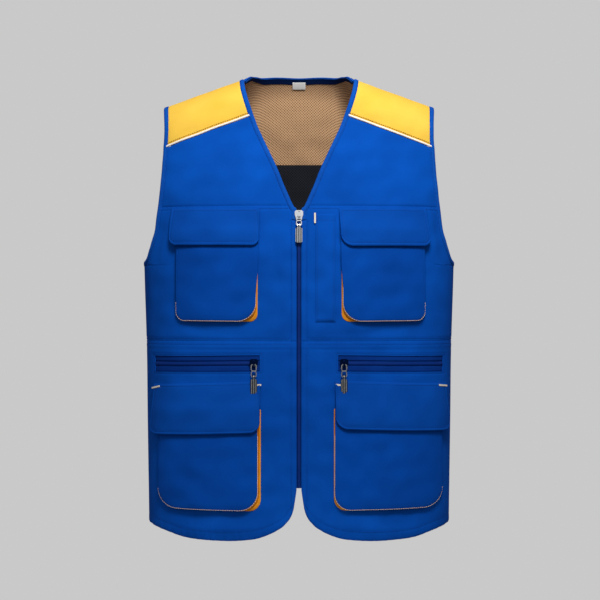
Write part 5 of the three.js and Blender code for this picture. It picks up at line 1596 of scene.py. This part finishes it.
class VEST_OT_stage(bpy.types.Operator):
    """Makes the pale floor, the studio light, the grey surroundings and the camera"""

    bl_idname = "vest.stage"
    bl_label = "Stage"

    def execute(self, context):
        scene = context.scene
        look = scene.vest_looks
        scene.view_settings.view_transform = "Standard"
        grey = to_linear("#C9C9C9")[0]
        world = bpy.data.worlds.new("studio")
        world.use_nodes = True
        self.surroundings(world.node_tree, grey, look.surroundings)
        scene.world = world
        self.floor(grey)
        for name, place, size, power in (
            ("key", (0.12, -0.9, 0.6), 0.4, look.key_power),
            ("fill", (-0.4, -2.6, 0.4), 1.6, look.fill_power),
        ):
            light = bpy.data.lights.new(name, "AREA")
            light.shape = "DISK"
            light.size = size
            light.energy = power
            lamp = bpy.data.objects.new(name, light)
            lamp.location = place
            aim = Vector((0, 0, -0.3)) - Vector(place)
            lamp.rotation_euler = aim.to_track_quat("-Z", "Y").to_euler()
            scene.collection.objects.link(lamp)
        camera = bpy.data.objects.new("camera", bpy.data.cameras.new("camera"))
        camera.location = (0.0015, -2.2, -0.327)
        camera.rotation_euler = (math.radians(90), 0, 0)
        camera.data.sensor_width = 36
        camera.data.lens = 88
        scene.collection.objects.link(camera)
        scene.camera = camera
        return {"FINISHED"}

    def surroundings(self, tree, grey, strength):
        """An even grey behind the vest, and for its light a room that is bright above and dark below."""
        tree.nodes.clear()
        place = add_node(tree, "ShaderNodeTexCoord")
        parts = add_node(tree, "ShaderNodeSeparateXYZ", {"Vector": place.outputs["Generated"]})
        level = add_node(
            tree, "ShaderNodeMapRange", {"Value": parts.outputs["Z"]}, From_Min=-0.5, From_Max=0.8,
            To_Min=0.25, To_Max=1.6, interpolation_type="SMOOTHSTEP")
        room = add_node(tree, "ShaderNodeMath", {0: level.outputs[0]}, operation="MULTIPLY")
        room.inputs[1].default_value = strength
        lit = add_node(tree, "ShaderNodeBackground", {"Strength": room.outputs[0]}, Color=(1, 1, 1, 1))
        seen = add_node(tree, "ShaderNodeBackground", Color=(grey, grey, grey, 1))
        path = add_node(tree, "ShaderNodeLightPath")
        either = add_node(
            tree, "ShaderNodeMixShader",
            {0: path.outputs["Is Camera Ray"], 1: lit.outputs[0], 2: seen.outputs[0]})
        add_node(tree, "ShaderNodeOutputWorld", {"Surface": either.outputs[0]})

    def floor(self, grey):
        """A flat round sheet of rings and spokes that fades out into the surroundings."""
        radii = np.concatenate([[0.002], np.linspace(0.1, 1.6, 16)])
        turns = np.linspace(0, 2 * np.pi, 65)[:-1]
        x, y = radii[:, None] * np.cos(turns), radii[:, None] * np.sin(turns)
        low = CAD_BOX[0][2] - 0.26
        points = np.stack([x, y, np.full_like(x, low)], -1).reshape(-1, 3)
        index = np.arange(len(points)).reshape(len(radii), len(turns))
        after = np.roll(index, -1, axis=1)
        faces = np.stack([index[:-1], index[1:], after[1:], after[:-1]], -1).reshape(-1, 4)
        mesh = bpy.data.meshes.new("floor")
        mesh.from_pydata(points.tolist(), [], faces.tolist() + [index[0].tolist()])
        material, tree = new_material("floor_card")
        place = add_node(tree, "ShaderNodeTexCoord")
        flat = add_node(tree, "ShaderNodeVectorMath", {0: place.outputs["Object"]}, operation="MULTIPLY")
        flat.inputs[1].default_value = (1, 1, 0)
        far = add_node(tree, "ShaderNodeVectorMath", {0: flat.outputs[0]}, operation="LENGTH")
        fade = add_node(
            tree, "ShaderNodeMapRange", {"Value": far.outputs["Value"]}, From_Min=0.3, From_Max=0.78,
            interpolation_type="SMOOTHSTEP")
        card = add_node(tree, "ShaderNodeBsdfPrincipled", Roughness=0.9)
        card.inputs["Base Color"].default_value = (grey, grey, grey, 1)
        clear = add_node(tree, "ShaderNodeBsdfTransparent")
        mixed = add_node(
            tree, "ShaderNodeMixShader", {0: fade.outputs[0], 1: card.outputs[0], 2: clear.outputs[0]})
        add_node(tree, "ShaderNodeOutputMaterial", {"Surface": mixed.outputs[0]})
        mesh.materials.append(material)
        floor = bpy.data.objects.new("floor", mesh)
        bpy.context.scene.collection.objects.link(floor)


class VestLooks(bpy.types.PropertyGroup):
    """Sizes and strengths that a user may change before building the vest"""

    wave_height: FloatProperty(
        name="Wave height", description="Height of the cloth's low waves", default=0.00014, min=0, max=0.002,
        precision=5, subtype="DISTANCE", unit="LENGTH")
    crease_strength: FloatProperty(
        name="Crease strength", description="Share of the fine creases' full height", default=1.5,
        min=0, max=2, subtype="FACTOR")
    flap_stand: FloatProperty(
        name="Flap stand-off", description="How far the flaps' lower edges stand off the pockets",
        default=0.0018, min=0, max=0.01, precision=4, subtype="DISTANCE", unit="LENGTH")
    stitch_length: FloatProperty(
        name="Stitch length", description="Distance from one stitch to the next", default=0.0034, min=0.001,
        max=0.01, precision=4, subtype="DISTANCE", unit="LENGTH")
    thread_thickness: FloatProperty(
        name="Thread thickness", description="Thickness of the sewing thread", default=0.0006, min=0.0002,
        max=0.002, precision=4, subtype="DISTANCE", unit="LENGTH")
    key_power: FloatProperty(
        name="Key light", description="Power of the main light", default=13.5, min=0, max=500, unit="POWER")
    fill_power: FloatProperty(
        name="Fill light", description="Power of the second light", default=3, min=0, max=500, unit="POWER")
    surroundings: FloatProperty(
        name="Surroundings", description="Strength of the light from the room", default=0.26, min=0, max=5)


STEPS = ("stage", "fronts", "yokes", "back", "bindings", "pockets", "stitching", "zips", "label", "metal")


class VEST_PT_panel(bpy.types.Panel):
    """Lists the looks and the building steps of the vest"""

    bl_label = "Utility work vest"
    bl_idname = "VEST_PT_panel"
    bl_space_type = "VIEW_3D"
    bl_region_type = "UI"
    bl_category = "Vest"

    def draw(self, context):
        column = self.layout.column()
        for name in VestLooks.__annotations__:
            column.prop(context.scene.vest_looks, name)
        for step in STEPS:
            column.operator(f"vest.{step}")


CLASSES = (
    VestLooks, VEST_OT_stage, VEST_OT_fronts, VEST_OT_yokes, VEST_OT_back, VEST_OT_bindings, VEST_OT_pockets,
    VEST_OT_stitching, VEST_OT_zips, VEST_OT_label, VEST_OT_metal, VEST_PT_panel,
)


def register():
    for item in CLASSES:
        bpy.utils.register_class(item)
    bpy.types.Scene.vest_looks = PointerProperty(type=VestLooks)


def unregister():
    del bpy.types.Scene.vest_looks
    for item in reversed(CLASSES):
        bpy.utils.unregister_class(item)


def main():
    register()
    for step in STEPS:
        getattr(bpy.ops.vest, step)()


if __name__ == "__main__":
    main()
